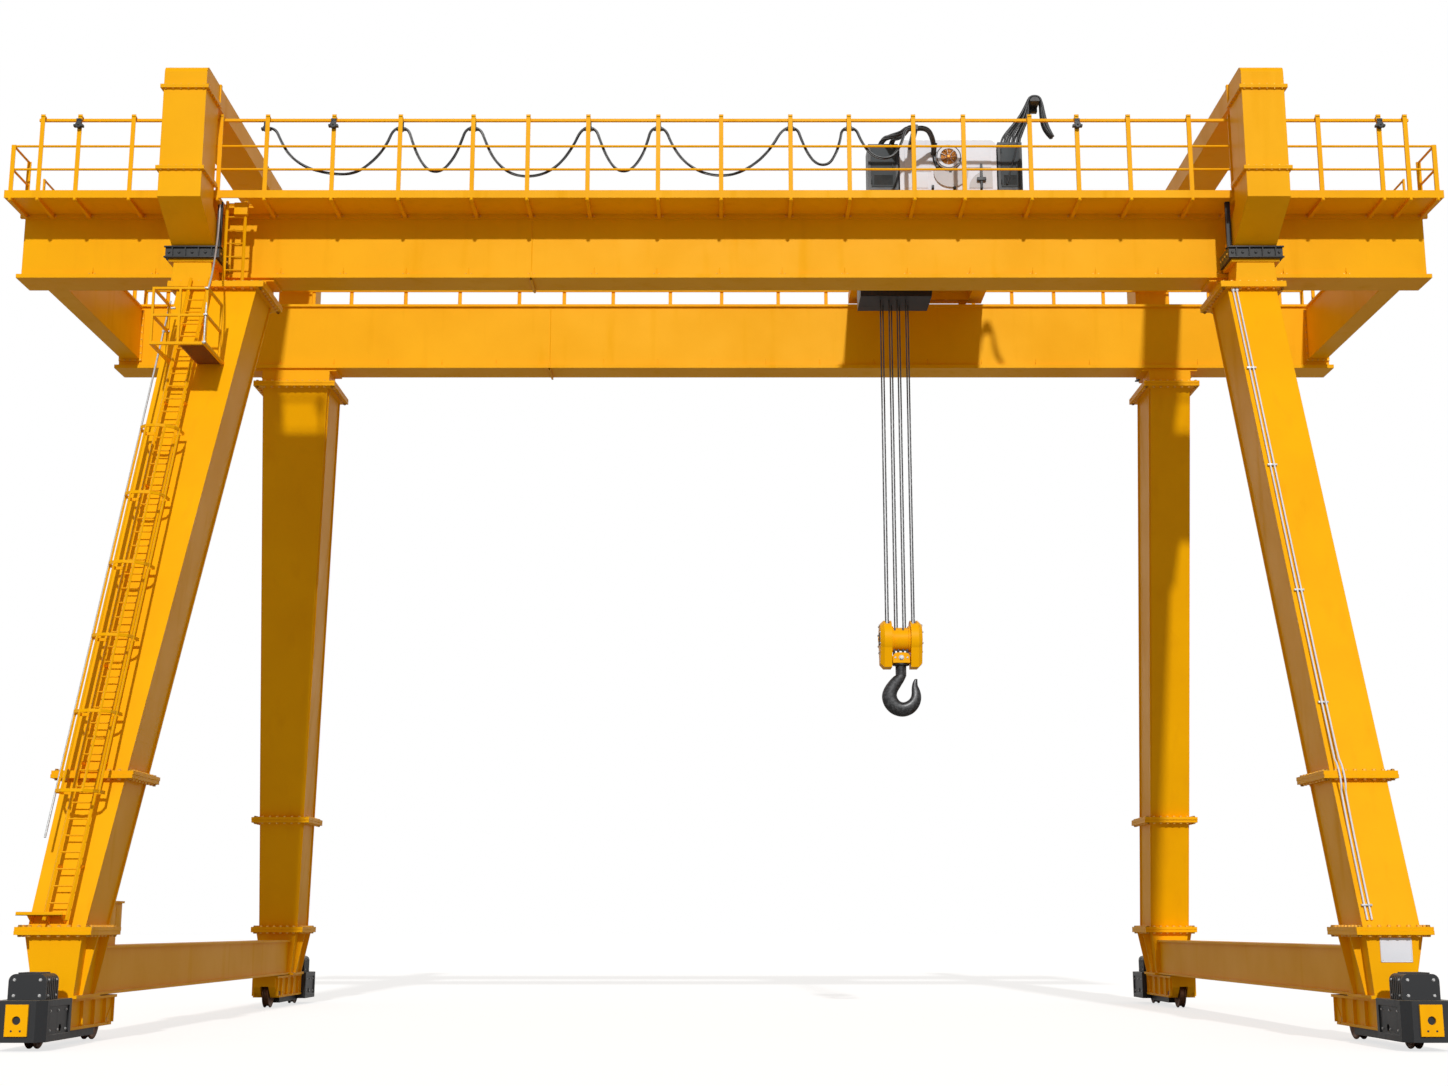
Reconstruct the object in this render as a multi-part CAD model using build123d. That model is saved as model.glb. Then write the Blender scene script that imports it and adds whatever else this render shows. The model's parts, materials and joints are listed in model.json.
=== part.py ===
from build123d import *
import math
import os

# Double box-girder gantry crane: two girders on splayed legs, portal frames over the
# trolley way, walkways outside the girders, a hoist trolley on top and a hook block under it.
# Frame: X along the girders, Y from front (-) to rear (+), Z up, rail top at Z = 0.
# All lengths are millimetres.

os.makedirs("parts", exist_ok=True)

# Girders, the ties at their ends and the trolley rails
GIRDER_LENGTH = 30900.0
GIRDER_PITCH = 6850.0
SOFFIT_Z = 15920.0
GIRDER_HEIGHT = 1690.0
BOX_WIDTH = 720.0
FLANGE_WIDTH = 860.0
FLANGE_BOTTOM_T = 90.0
FLANGE_TOP_T = 60.0
END_SETBACK = 90.0
TIE_WIDTH = 460.0
TIE_HEIGHT = 1300.0
TIE_DROP = 160.0
TIE_FLANGE_T = 40.0
TIE_FLANGE_LIP = 60.0
TIE_INSET = 150.0
RAIL_FOOT_W = 120.0
RAIL_HEAD_W = 70.0
RAIL_WEB_W = 30.0
RAIL_HEIGHT = 90.0
RAIL_FOOT_T = 20.0
RAIL_HEAD_T = 30.0
RAIL_OFFSET = 125.0
RAIL_INSET = 700.0

# Legs, splayed front to rear; the left pair is wide at the head.
# Overhangs run from the girder end to the middle of a leg or portal.
FOOT_OVERHANG = 3680.0
LEFT_HEAD_OVERHANG = 4600.0
RIGHT_HEAD_OVERHANG = 4150.0
LEFT_HEAD_W = 1700.0
RIGHT_HEAD_W = 1050.0
LEG_SETOUT = 365.0
LEG_SPLAY = 4760.0
LEG_HEAD_D = 1450.0
LEG_FOOT_W = 1010.0
LEG_FOOT_D = 1320.0
LEG_FOOT_Z = 1970.0
LEG_LOWER_H = 2810.0
LEG_FACE_T = 40.0
LEG_FACE_LIP = 35.0
LEG_PLATE_T = 70.0
LEG_PLATE_LIP = 175.0
SADDLE_H = 420.0
SADDLE_PLATE_T = 60.0

# Leg bases, sill beams and bogies
BASE_PLATE_T = 70.0
BASE_BODY_W = 940.0
BASE_FOOT_W = 760.0
BASE_D = 1300.0
BASE_SOLE_Z = 800.0
BASE_SOLE_T = 60.0
BASE_SOLE_LIP = 60.0
BASE_RIB_T = 40.0
BASE_RIB_INSET = 30.0
BASE_RIB_Y = 325.0
SILL_WIDTH = 560.0
SILL_FLANGE_W = 700.0
SILL_FLANGE_T = 50.0
SILL_LIFT = 20.0
SILL_HEIGHT = 880.0
WHEEL_FLANGE_D = 700.0
WHEEL_TREAD_D = 620.0
WHEEL_W = 170.0
WHEEL_FLANGE_W = 35.0
WHEEL_SIDES = 36
AXLE_D = 130.0
AXLE_SIDES = 16
AXLE_PLAY = 0.5
AXLE_REACH = 20.0
WHEEL_GAP = 25.0
WHEEL_BASE = 2850.0
BOGIE_SHIFT = 50.0
BOGIE_WIDTH = 560.0
BOGIE_FLANGE_W = 680.0
BOGIE_FLANGE_T = 50.0
BOGIE_HEIGHT = 540.0
BOGIE_INNER_LEN = 480.0
BOGIE_OUTER_LEN = 475.0
BOGIE_RAKE = 260.0
STIFFENER_T = 40.0
STIFFENER_PITCH = 640.0
GUARD_DROP = 150.0
GUARD_WIDTH = 420.0
HEAD_WIDTH = 900.0
HEAD_LEN = 1350.0
HEAD_RISE = 30.0
HEAD_HEIGHT = 680.0
HEAD_CHAMFER = 150.0
HEAD_PANEL_MARGIN = 110.0
HEAD_PANEL_DEPTH = 25.0
MOTOR_W = 640.0
MOTOR_LEN = 620.0
MOTOR_H = 430.0
MOTOR_ROUND = 120.0
MOTOR_RIB_PITCH = 90.0
MOTOR_RIB_W = 40.0
MOTOR_RIB_DEPTH = 30.0
COUPLING_W = 300.0
COUPLING_LEN = 260.0
COUPLING_H = 280.0
BUMPER_W = 380.0
BUMPER_H = 520.0
BUMPER_T = 40.0
BUMPER_RISE = 20.0
BUMPER_HOLE_D = 140.0

# Portal frames over the trolley way, one at each leg pair
PORTAL_OVERHANG = 4070.0
PORTAL_W = 900.0
PORTAL_DEPTH = 980.0
PORTAL_COLUMN_H = 1820.0
PORTAL_BEAM_H = 490.0
PORTAL_LIFT = 10.0
PORTAL_BEND_DROP = 630.0
PORTAL_BACK_DROP = 450.0
PORTAL_PLATE_T = 40.0
PORTAL_PLATE_LIP = 60.0
PORTAL_REAR_LIP = 25.0
PORTAL_CORNER_R = 160.0
PORTAL_WALK_GAP = 70.0
BEAM_BAND_W = 80.0
BEAM_BAND_LIP = 30.0
BEAM_BAND_GAP = 40.0
KNEE_DROP = 1290.0
KNEE_OUTER_GAP = 815.0
KNEE_INNER_GAP = 95.0
KNEE_TOE_H = 230.0
PAD_H = 270.0
PAD_W = 1150.0
PAD_LIP = 40.0
PEDESTAL_PLATE_T = 60.0
PEDESTAL_PLATE_W = 1030.0
PEDESTAL_W = 800.0
PEDESTAL_FOOT_W = 880.0
PEDESTAL_MARGIN = 30.0

# Walkways, railings and the rail that the festoon cable hangs from
WALK_WIDTH = 1065.0
WALK_DROP = 190.0
WALK_T = 40.0
FASCIA_H = 175.0
FASCIA_DROP = 50.0
FASCIA_T = 20.0
BEARER_H = 85.0
BEARER_W = 70.0
BRACKET_W = 80.0
BRACKET_TIP_H = 60.0
BRACKET_ROOT_H = 95.0
RAIL_TOP_H = 1150.0
RAIL_MID_H = 620.0
TUBE = 48.0
POST_STATIONS = (-0.992, -0.954, -0.902, -0.827, -0.704, -0.639, -0.546, -0.453, -0.351, -0.274, -0.190, -0.092,
                 -0.004, 0.093, 0.175, 0.265, 0.335, 0.428, 0.494, 0.566, 0.651, 0.709, 0.832, 0.917, 0.954, 0.992)
END_WALK_W = 600.0
END_WALK_T = 40.0
END_WALK_GAP = 60.0
END_POST_PITCH = 1400.0
FESTOON_H = 1870.0
FESTOON_RAIL = 60.0
FESTOON_OVERHANG = 110.0
FESTOON_STANDOFF = 95.0
ARM_W = 90.0
ARM_H = 60.0
CARRIER_W = 120.0
CARRIER_PLAY = 0.5
CABLE_D = 70.0
CABLE_SIDES = 6
ANCHOR_LEN = 90.0
CABLE_Z = 19030.0
# Hanging loops of the cable, from the fixed clamp at the left to the trolley, as X and Z
CABLE_ROUTE = ((-9880, 19030), (-9730, 19030), (-9600, 18720), (-9380, 18370), (-8970, 18080), (-8450, 17960),
               (-7930, 17980), (-7560, 18280), (-7300, 18650), (-7150, 19030),
               (-6850, 19030), (-6755, 18710), (-6600, 18340), (-6380, 18030), (-6080, 18020), (-5840, 18330),
               (-5690, 18710), (-5580, 19030),
               (-5280, 19030), (-5160, 18680), (-4940, 18250), (-4550, 17920), (-4020, 17910), (-3560, 18160),
               (-3280, 18580), (-3080, 19030),
               (-2780, 19030), (-2680, 18710), (-2520, 18330), (-2300, 18030), (-2010, 18040), (-1790, 18340),
               (-1660, 18700), (-1570, 19030),
               (-1270, 19030), (-1140, 18640), (-840, 18220), (-380, 17940), (170, 17930), (660, 18170),
               (1030, 18580), (1290, 19030),
               (1590, 19030), (1670, 18760), (1800, 18450), (2000, 18190), (2270, 18180), (2430, 18440),
               (2510, 18740), (2560, 19030),
               (2860, 19030), (2950, 18760), (3100, 18500), (3330, 18330), (3620, 18340), (3790, 18550),
               (3880, 18800), (3950, 19030), (4090, 19030))
CARRIER_X = (-7000.0, -5430.0, -2930.0, -1420.0, 1440.0, 2710.0)
BEND_SHARE = 0.45

# Ladder on the front left leg, its landing, and the short ladder up to the walkway
LADDER_W = 400.0
LADDER_STAND = 260.0
LADDER_FOOT_SHIFT = 30.0
LADDER_HEAD_SHIFT = 320.0
LADDER_FOOT_GAP = 180.0
LADDER_HEAD_RISE = 100.0
RUNG_PITCH = 300.0
RUNG_D = 32.0
STRINGER_D = 70.0
STAY_PITCH = 1900.0
HOOP_R = 390.0
HOOP_W = 60.0
HOOP_T = 24.0
HOOP_REACH = 330.0
HOOP_SIDES = 12
HOOP_FIRST_Z = 4400.0
HOOP_PITCH = 1480.0
HOOP_COUNT = 6
STRAP_D = 50.0
LANDING_Z = 13600.0
LANDING_LEFT = 330.0
LANDING_W = 1140.0
LANDING_D = 1460.0
LANDING_BEAM = 60.0
LANDING_FLOOR_T = 40.0
LANDING_FLOOR_W = 560.0
LANDING_RAIL_H = 1130.0
LANDING_MID_H = 560.0
SHORT_LADDER_SHIFT = 320.0
SHORT_LADDER_INSET = 330.0
HATCH_W = 600.0
HATCH_D = 560.0
CABINET_W = 620.0
CABINET_D = 760.0
CABINET_H = 560.0
CABINET_ROOF_T = 40.0
CABINET_ROOF_LIP = 35.0
CABINET_STAND_H = 220.0
CABINET_STAND_INSET = 70.0
CABINET_Y = 6900.0

# Trolley with its hoist; TROLLEY_X is the middle of its frame
TROLLEY_X = 4910.0
TROLLEY_LEN = 3420.0
RUNNER_PLAY = 0.5
RUNNER_D = 300.0
RUNNER_W = 110.0
RUNNER_INSET = 500.0
TRUCK_GAP = 80.0
TRUCK_W = 320.0
TRUCK_H = 200.0
CROSS_W = 360.0
DECK_T = 50.0
FRONT_REACH = 350.0
LEFT_CABINET_W = 670.0
LEFT_CABINET_H = 1080.0
RIGHT_CABINET_W = 540.0
RIGHT_CABINET_H = 1125.0
TROLLEY_CABINET_D = 700.0
TROLLEY_CABINET_GAP = 30.0
CABINET_FRAME = 60.0
CABINET_RECESS = 25.0
HOUSING_D = 1500.0
HOUSING_H = 1170.0
HOUSING_ROUND = 150.0
BELL_D = 560.0
BELL_PROUD = 90.0
BELL_SHIFT = 1080.0
BELL_RISE = 750.0
FAN_D = 380.0
FAN_DEPTH = 60.0
FAN_HUB_D = 120.0
FAN_BLADES = 7
FAN_BLADE_T = 14.0
DRUM_D = 820.0
DRUM_LEN = 2600.0
DRUM_RISE = 620.0
DRUM_RIM_D = 940.0
DRUM_RIM_T = 60.0
DRUM_STAND_W = 520.0
DRUM_STAND_T = 120.0
DRUM_STAND_H = 900.0
MAST_W = 140.0
MAST_H = 2270.0
MAST_BACK = 80.0
MAST_REACH = 420.0
MAST_ARM_H = 90.0
MAST_SADDLE_W = 220.0
MAST_SADDLE_MARGIN = 110.0
TOW_ARM = 110.0
UPPER_W = 960.0
UPPER_GAP = 20.0
UPPER_D = 1100.0
UPPER_Z0 = 16620.0
SKIRT_LEFT = 840.0
SKIRT_RIGHT = 950.0
SKIRT_RAKE = 110.0
ROPE_D = 32.0
ROPE_Y = 200.0
ROPE_SKEW = 30.0
SHEAVE_OUTER_X = 300.0
SHEAVE_INNER_X = 95.0

# Cable bundle draped over the trolley mast, from the top of the saddle as X and Z
MAST_CABLE_D = 110.0
MAST_CABLE_INSET = 230.0
MAST_ROUTE = ((-570, -1145), (-570, -985), (-480, -800), (-350, -590), (-250, -360), (-190, -100), (-100, 90), (100, 90),
              (190, -100), (215, -360), (255, -620), (330, -820), (400, -930))

# Hook block and hook; HOOK_BOTTOM_Z is the lowest point of the bowl
HOOK_BOTTOM_Z = 6745.0
BLOCK_Z0 = 7860.0
BLOCK_TOP = 8960.0
GUARD_T = 265.0
BLOCK_GAP = 430.0
GUARD_R = 430.0
GUARD_FOOT_W = 460.0
GUARD_BEVEL = 90.0
GUARD_SLOT_W = 110.0
GUARD_SLOT_H = 100.0
HUB_D = 130.0
HUB_T = 30.0
COVER_D = 534.0
COVER_RIM_D = 600.0
COVER_RIM_W = 45.0
TRUNNION_W = 390.0
TRUNNION_H = 238.0
TRUNNION_D = 420.0
TRUNNION_Z0 = 7960.0
TRUNNION_ROUND = 110.0
TRUNNION_PIN_D = 130.0
SHANK_D = 250.0
SHANK_PLAY = 0.5
COLLAR_D = 380.0
COLLAR_T = 40.0
COLLAR_GAP = 0.5
HOOK_SIDES = 16
NECK_Z = 950.0
# Forged sections from the neck round the bowl to the tip: middle X and Z above the bowl's
# lowest point, the way the section looks (degrees from +X), breadth in the plane, thickness
HOOK_SECTIONS = ((0, 950, 180, 250, 250), (-55, 870, 158, 262, 250), (-150, 745, 150, 290, 240),
                 (-238, 610, 165, 318, 235), (-274, 470, 183, 345, 235), (-232, 325, 208, 352, 240),
                 (-128, 212, 236, 344, 240), (20, 166, 268, 332, 235), (165, 204, 300, 316, 225),
                 (275, 305, 331, 286, 205), (330, 430, 358, 250, 180), (333, 555, 379, 212, 150),
                 (310, 675, 388, 160, 115), (318, 780, 374, 100, 80), (334, 862, 366, 46, 46))

HALF = GIRDER_LENGTH / 2
GIRDER_Y = GIRDER_PITCH / 2
GIRDER_TOP = SOFFIT_Z + GIRDER_HEIGHT
WEB_OUT_Y = GIRDER_Y + BOX_WIDTH / 2
WEB_IN_Y = GIRDER_Y - BOX_WIDTH / 2
FLANGE_OUT_Y = GIRDER_Y + FLANGE_WIDTH / 2
RAIL_TOP = GIRDER_TOP + RAIL_HEIGHT
RAIL_Y = GIRDER_Y - RAIL_OFFSET
FOOT_X = HALF - FOOT_OVERHANG
PORTAL_X = HALF - PORTAL_OVERHANG
LEG_TOP_Y = GIRDER_Y + LEG_SETOUT
LEG_FOOT_Y = LEG_TOP_Y + LEG_SPLAY
LEG_HEAD_Z = SOFFIT_Z - SADDLE_H
LEG_SPLICE_Z = LEG_FOOT_Z + LEG_LOWER_H
WALK_EDGE_Y = WEB_OUT_Y + WALK_WIDTH
WALK_Z = GIRDER_TOP - WALK_DROP
WALK_UNDER = WALK_Z - WALK_T


def block(x0, x1, y0, y1, z0, z1):
    """A box between two opposite corners."""
    size = Box(abs(x1 - x0), abs(y1 - y0), abs(z1 - z0))
    return Pos((x0 + x1) / 2, (y0 + y1) / 2, (z0 + z1) / 2) * size


def front_to_rear(shape):
    """The twin of a front piece on the rear side."""
    return mirror(shape, about=Plane.XZ)


def bar(p, q, d, sides=6):
    """A round bar with few sides from p to q."""
    start, end = Vector(*p), Vector(*q)
    plane = Plane(start, z_dir=end - start)
    return extrude(plane * RegularPolygon(d / 2, sides), (end - start).length)


def extruded_yz(points, x0, x1):
    """A closed outline in the YZ plane, extruded from x0 to x1."""
    face = Plane((x0, 0, 0), x_dir=(0, 1, 0), z_dir=(1, 0, 0)) * make_face(Polyline(*points, close=True))
    return extrude(face, x1 - x0)


def extruded_xz(points, y0, y1):
    """A closed outline in the XZ plane, extruded from y0 to y1."""
    face = Plane((0, y0, 0), x_dir=(1, 0, 0), z_dir=(0, -1, 0)) * make_face(Polyline(*points, close=True))
    return extrude(face, y0 - y1)


def crossed(front, side):
    """The solid that shows one outline from the front, in X and Z, and one from the side, in Y and Z."""
    ys = [p[0] for p in side]
    xs = [p[0] for p in front]
    return extruded_xz(front, min(ys), max(ys)) & extruded_yz(side, min(xs), max(xs))


def across(radius, length, sides=0):
    """A round solid about the X axis, with few sides where a number is given."""
    disc = RegularPolygon(radius, sides) if sides else Circle(radius)
    return extrude(Plane((-length / 2, 0, 0), x_dir=(0, 1, 0), z_dir=(1, 0, 0)) * disc, length)


def save(name, *shapes):
    """Write one node, made of one or more separate solids."""
    solids = []
    for shape in shapes:
        solids.extend(shape.solids())
    whole = solids[0] if len(solids) == 1 else Compound(children=solids)
    export_step(whole, "parts/" + name + ".step")


def save_four(name, make):
    """Write a piece for both sides, front and rear, as one node."""
    fronts = [make(s) for s in (-1, 1)]
    save(name, *fronts, *[front_to_rear(f) for f in fronts])


# Girders
def girder():
    """The front girder: a box with wider flanges; the webs stop short of the flange tips."""
    y, b, f = -GIRDER_Y, BOX_WIDTH / 2, FLANGE_WIDTH / 2
    low, high = SOFFIT_Z + FLANGE_BOTTOM_T, GIRDER_TOP - FLANGE_TOP_T
    section = [(y - f, SOFFIT_Z), (y + f, SOFFIT_Z), (y + f, low), (y + b, low), (y + b, high), (y + f, high),
               (y + f, GIRDER_TOP), (y - f, GIRDER_TOP), (y - f, high), (y - b, high), (y - b, low), (y - f, low)]
    body = extruded_yz(section, -HALF, HALF)
    for s in (-1, 1):
        body -= block(s * (HALF - END_SETBACK), s * HALF, y - b, y + b, low, high)
    return body


save("girder_front", girder())
save("girder_rear", front_to_rear(girder()))

TIE_X = HALF - TIE_INSET - TIE_WIDTH / 2
TIE_Z0 = SOFFIT_Z + FLANGE_BOTTOM_T + TIE_DROP
TIE_Z1 = TIE_Z0 + TIE_HEIGHT


def end_tie(side):
    """A box beam between the girders, bolted up through end flanges."""
    x, w, lip = side * TIE_X, TIE_WIDTH / 2, TIE_FLANGE_LIP
    beam = block(x - w, x + w, -WEB_IN_Y, WEB_IN_Y, TIE_Z0, TIE_Z1)
    for s in (-1, 1):
        beam += block(x - w - lip, x + w + lip, s * WEB_IN_Y, s * (WEB_IN_Y - TIE_FLANGE_T), TIE_Z0 - lip, TIE_Z1)
    return beam


save("end_ties", end_tie(-1), end_tie(1))


def trolley_rail():
    """The front trolley rail with foot, web and head."""
    y, z0, z1 = -RAIL_Y, GIRDER_TOP, RAIL_TOP
    foot, web, head = RAIL_FOOT_W / 2, RAIL_WEB_W / 2, RAIL_HEAD_W / 2
    half = [(foot, z0), (foot, z0 + RAIL_FOOT_T), (web, z0 + RAIL_FOOT_T), (web, z1 - RAIL_HEAD_T),
            (head, z1 - RAIL_HEAD_T), (head, z1)]
    outline = [(y + a, z) for a, z in half] + [(y - a, z) for a, z in reversed(half)]
    return extruded_yz(outline, -HALF + RAIL_INSET, HALF - RAIL_INSET)


save("trolley_rails", trolley_rail(), front_to_rear(trolley_rail()))


# Legs
def leg_section(side, z):
    """Centre and size of the front leg of one side at a height."""
    t = (z - LEG_FOOT_Z) / (LEG_HEAD_Z - LEG_FOOT_Z)
    head_x = HALF - (LEFT_HEAD_OVERHANG if side < 0 else RIGHT_HEAD_OVERHANG)
    head_w = LEFT_HEAD_W if side < 0 else RIGHT_HEAD_W
    x = side * (FOOT_X + t * (head_x - FOOT_X))
    y = -(LEG_FOOT_Y + t * (LEG_TOP_Y - LEG_FOOT_Y))
    w = LEG_FOOT_W + t * (head_w - LEG_FOOT_W)
    d = LEG_FOOT_D + t * (LEG_HEAD_D - LEG_FOOT_D)
    return x, y, w, d


def leg_shell(side, z0, z1, inset, front, depth):
    """A length of leg, narrowed by an inset, from a distance behind its front face and of a given depth."""
    outline, profile = [], []
    for z in (z0, z1):
        x, y, w, d = leg_section(side, z)
        back = d if depth is None else front + depth
        outline.append(((x - w / 2 + inset, z), (x + w / 2 - inset, z)))
        profile.append(((y - d / 2 + front, z), (y - d / 2 + back, z)))
    return crossed([outline[0][0], outline[0][1], outline[1][1], outline[1][0]],
                   [profile[0][0], profile[0][1], profile[1][1], profile[1][0]])


def leg_plate(side, z0, z1):
    """A bolted flange plate around the leg."""
    x, y, w, d = leg_section(side, (z0 + z1) / 2)
    lip = LEG_PLATE_LIP
    return block(x - w / 2 - lip, x + w / 2 + lip, y - d / 2 - lip, y + d / 2 + lip, z0, z1)


def leg_part(side, z0, z1):
    """A box of four plates, the front and rear ones proud, with a bolted flange at each end."""
    depth = leg_section(side, z0)[3]
    body = leg_shell(side, z0, z1, LEG_FACE_LIP, 0, None)
    body += leg_shell(side, z0, z1, 0, 0, LEG_FACE_T)
    body += leg_shell(side, z0, z1, 0, depth - LEG_FACE_T, LEG_FACE_T)
    body += leg_plate(side, z0, z0 + LEG_PLATE_T)
    body += leg_plate(side, z1 - LEG_PLATE_T, z1)
    return body


def leg_lower(side):
    """The short lower length of a front leg."""
    return leg_part(side, LEG_FOOT_Z, LEG_SPLICE_Z)


def leg_upper(side):
    """The long upper length of a front leg."""
    return leg_part(side, LEG_SPLICE_Z, LEG_HEAD_Z)


save_four("legs_lower", leg_lower)
save_four("legs_upper", leg_upper)

# Leg heads: a saddle under the girder and a pedestal for the portal knee
SPLICE_Z = GIRDER_TOP + PORTAL_LIFT
KNEE_FOOT_Z = SPLICE_Z - KNEE_DROP
PAD_Z0 = KNEE_FOOT_Z - PAD_H
PAD_OUT_Y = FLANGE_OUT_Y + KNEE_OUTER_GAP + PAD_LIP
KNEE_OUT_Y = FLANGE_OUT_Y + KNEE_OUTER_GAP
KNEE_IN_Y = FLANGE_OUT_Y + KNEE_INNER_GAP


def leg_head(side):
    """The saddle and pedestal on one front leg."""
    x, y, w, d = leg_section(side, LEG_HEAD_Z)
    lip = LEG_PLATE_LIP
    z0 = LEG_HEAD_Z + SADDLE_PLATE_T
    head = block(x - w / 2 - lip, x + w / 2 + lip, y - d / 2 - lip, y + d / 2 + lip, LEG_HEAD_Z, z0)
    head += block(x - w / 2, x + w / 2, -WEB_OUT_Y, -WEB_IN_Y, z0, SOFFIT_Z)
    head += block(x - w / 2 - lip, x + w / 2 + lip, -WEB_OUT_Y, -WEB_IN_Y, SOFFIT_Z - SADDLE_PLATE_T, SOFFIT_Z)
    px = side * PORTAL_X
    plate_z = PAD_Z0 - PEDESTAL_PLATE_T
    foot, top = PEDESTAL_FOOT_W / 2, PEDESTAL_W / 2
    y0, y1 = -KNEE_OUT_Y + PEDESTAL_MARGIN, -KNEE_IN_Y - PEDESTAL_MARGIN
    head += extruded_xz([(px - foot, z0), (px + foot, z0), (px + top, plate_z), (px - top, plate_z)], y0, y1)
    head += block(px - PEDESTAL_PLATE_W / 2, px + PEDESTAL_PLATE_W / 2, -KNEE_OUT_Y, -KNEE_IN_Y, plate_z, PAD_Z0)
    return head


def pad(side):
    """The dark bolted joint block between pedestal and knee."""
    px = side * PORTAL_X
    return block(px - PAD_W / 2, px + PAD_W / 2, -PAD_OUT_Y, -KNEE_IN_Y, PAD_Z0, KNEE_FOOT_Z)


save_four("leg_heads", leg_head)
save_four("portal_pads", pad)


# Leg bases and sill beams
def leg_base(side):
    """A pedestal from the bogie up to the leg flange, with slanted ribs on its sides."""
    x, y = side * FOOT_X, -LEG_FOOT_Y
    top = LEG_FOOT_Z - BASE_PLATE_T
    sole = BASE_SOLE_Z + BASE_SOLE_T
    foot, head = BASE_FOOT_W / 2, BASE_BODY_W / 2
    y0, y1 = y - BASE_D / 2, y + BASE_D / 2
    body = extruded_xz([(x - foot, sole), (x + foot, sole), (x + head, top), (x - head, top)], y0, y1)
    w = LEG_FOOT_W / 2 + LEG_PLATE_LIP
    d = LEG_FOOT_D / 2 + LEG_PLATE_LIP
    body += block(x - w, x + w, y - d, y + d, top, LEG_FOOT_Z)
    body += block(x - foot - BASE_SOLE_LIP, x + foot + BASE_SOLE_LIP, y0, y1, BASE_SOLE_Z, sole)
    for s in (-1, 1):
        toe = x + s * (foot + BASE_SOLE_LIP)
        for rib_y in (y - BASE_RIB_Y, y + BASE_RIB_Y):
            outline = [(x, sole), (toe, sole), (x + s * (w - BASE_RIB_INSET), top), (x, top)]
            body += extruded_xz(outline, rib_y - BASE_RIB_T / 2, rib_y + BASE_RIB_T / 2)
    return body


SILL_Z0 = BASE_SOLE_Z + SILL_LIFT
SILL_Z1 = SILL_Z0 + SILL_HEIGHT


def sill(side):
    """The beam with wide flanges that ties the front and rear leg bases."""
    x, half = side * FOOT_X, LEG_FOOT_Y - BASE_D / 2
    w, f = SILL_WIDTH / 2, SILL_FLANGE_W / 2
    low, high = SILL_Z0 + SILL_FLANGE_T, SILL_Z1 - SILL_FLANGE_T
    right = [(f, SILL_Z0), (f, low), (w, low), (w, high), (f, high), (f, SILL_Z1)]
    outline = [(x + a, z) for a, z in right] + [(x - a, z) for a, z in reversed(right)]
    return extruded_xz(outline, -half, half)


save_four("leg_bases", leg_base)
save("sills", sill(-1), sill(1))

# Bogies: a yellow frame, a dark drive head at the outer end and a guard below
AXLE_Z = WHEEL_FLANGE_D / 2
BOGIE_Y = LEG_FOOT_Y - BOGIE_SHIFT
WHEEL_OUT_Y = -(BOGIE_Y + WHEEL_BASE / 2)
WHEEL_IN_Y = -(BOGIE_Y - WHEEL_BASE / 2)
POCKET_W = WHEEL_W + 2 * WHEEL_GAP
POCKET_R = WHEEL_FLANGE_D / 2 + WHEEL_GAP
FRAME_Y0 = WHEEL_OUT_Y + BOGIE_OUTER_LEN
FRAME_Y1 = WHEEL_IN_Y + BOGIE_INNER_LEN
FRAME_Z0 = BASE_SOLE_Z - BOGIE_HEIGHT
HEAD_Y0 = FRAME_Y0 - HEAD_LEN
HEAD_TOP = BASE_SOLE_Z + HEAD_RISE
HEAD_Z0 = HEAD_TOP - HEAD_HEIGHT


def pocket(x, y, reach):
    """Room for one wheel, open below and for a reach along the rail, and the bore for its axle."""
    room = Pos(x, y, AXLE_Z) * across(POCKET_R, POCKET_W)
    room += block(x - POCKET_W / 2, x + POCKET_W / 2, y - POCKET_R, y + POCKET_R, -WHEEL_GAP, AXLE_Z)
    if reach:
        room += block(x - POCKET_W / 2, x + POCKET_W / 2, y, y + reach, -WHEEL_GAP, AXLE_Z + POCKET_R / 2)
    room += Pos(x, y, AXLE_Z) * across(AXLE_D / 2 + AXLE_PLAY, 2 * HEAD_WIDTH)
    return room


def bogie_frame(side):
    """The box frame of a front bogie with flanges and stiffeners, forked round the inner wheel."""
    x, w, f = side * FOOT_X, BOGIE_WIDTH / 2, BOGIE_FLANGE_W / 2
    top, t = BASE_SOLE_Z, BOGIE_FLANGE_T
    profile = [(FRAME_Y0, FRAME_Z0), (FRAME_Y1 - BOGIE_RAKE, FRAME_Z0), (FRAME_Y1, FRAME_Z0 + BOGIE_RAKE),
               (FRAME_Y1, top), (FRAME_Y0, top)]
    frame = extruded_yz(profile, x - w, x + w)
    frame += block(x - f, x + f, FRAME_Y0, FRAME_Y1, top - t, top)
    frame += block(x - f, x + f, FRAME_Y0, FRAME_Y1 - BOGIE_RAKE, FRAME_Z0, FRAME_Z0 + t)
    count = int((FRAME_Y1 - BOGIE_RAKE - FRAME_Y0) / STIFFENER_PITCH)
    for i in range(1, count + 1):
        y = FRAME_Y0 + i * STIFFENER_PITCH - STIFFENER_PITCH / 2
        frame += block(x - f, x + f, y, y + STIFFENER_T, FRAME_Z0, top)
    return frame - pocket(x, WHEEL_IN_Y, 2 * BOGIE_INNER_LEN)


def bogie_guard(side):
    """The dark rail guard under the frame, short of the inner wheel."""
    x = side * FOOT_X
    y1 = WHEEL_IN_Y - POCKET_R
    return block(x - GUARD_WIDTH / 2, x + GUARD_WIDTH / 2, FRAME_Y0, y1, FRAME_Z0 - GUARD_DROP, FRAME_Z0)


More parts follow.
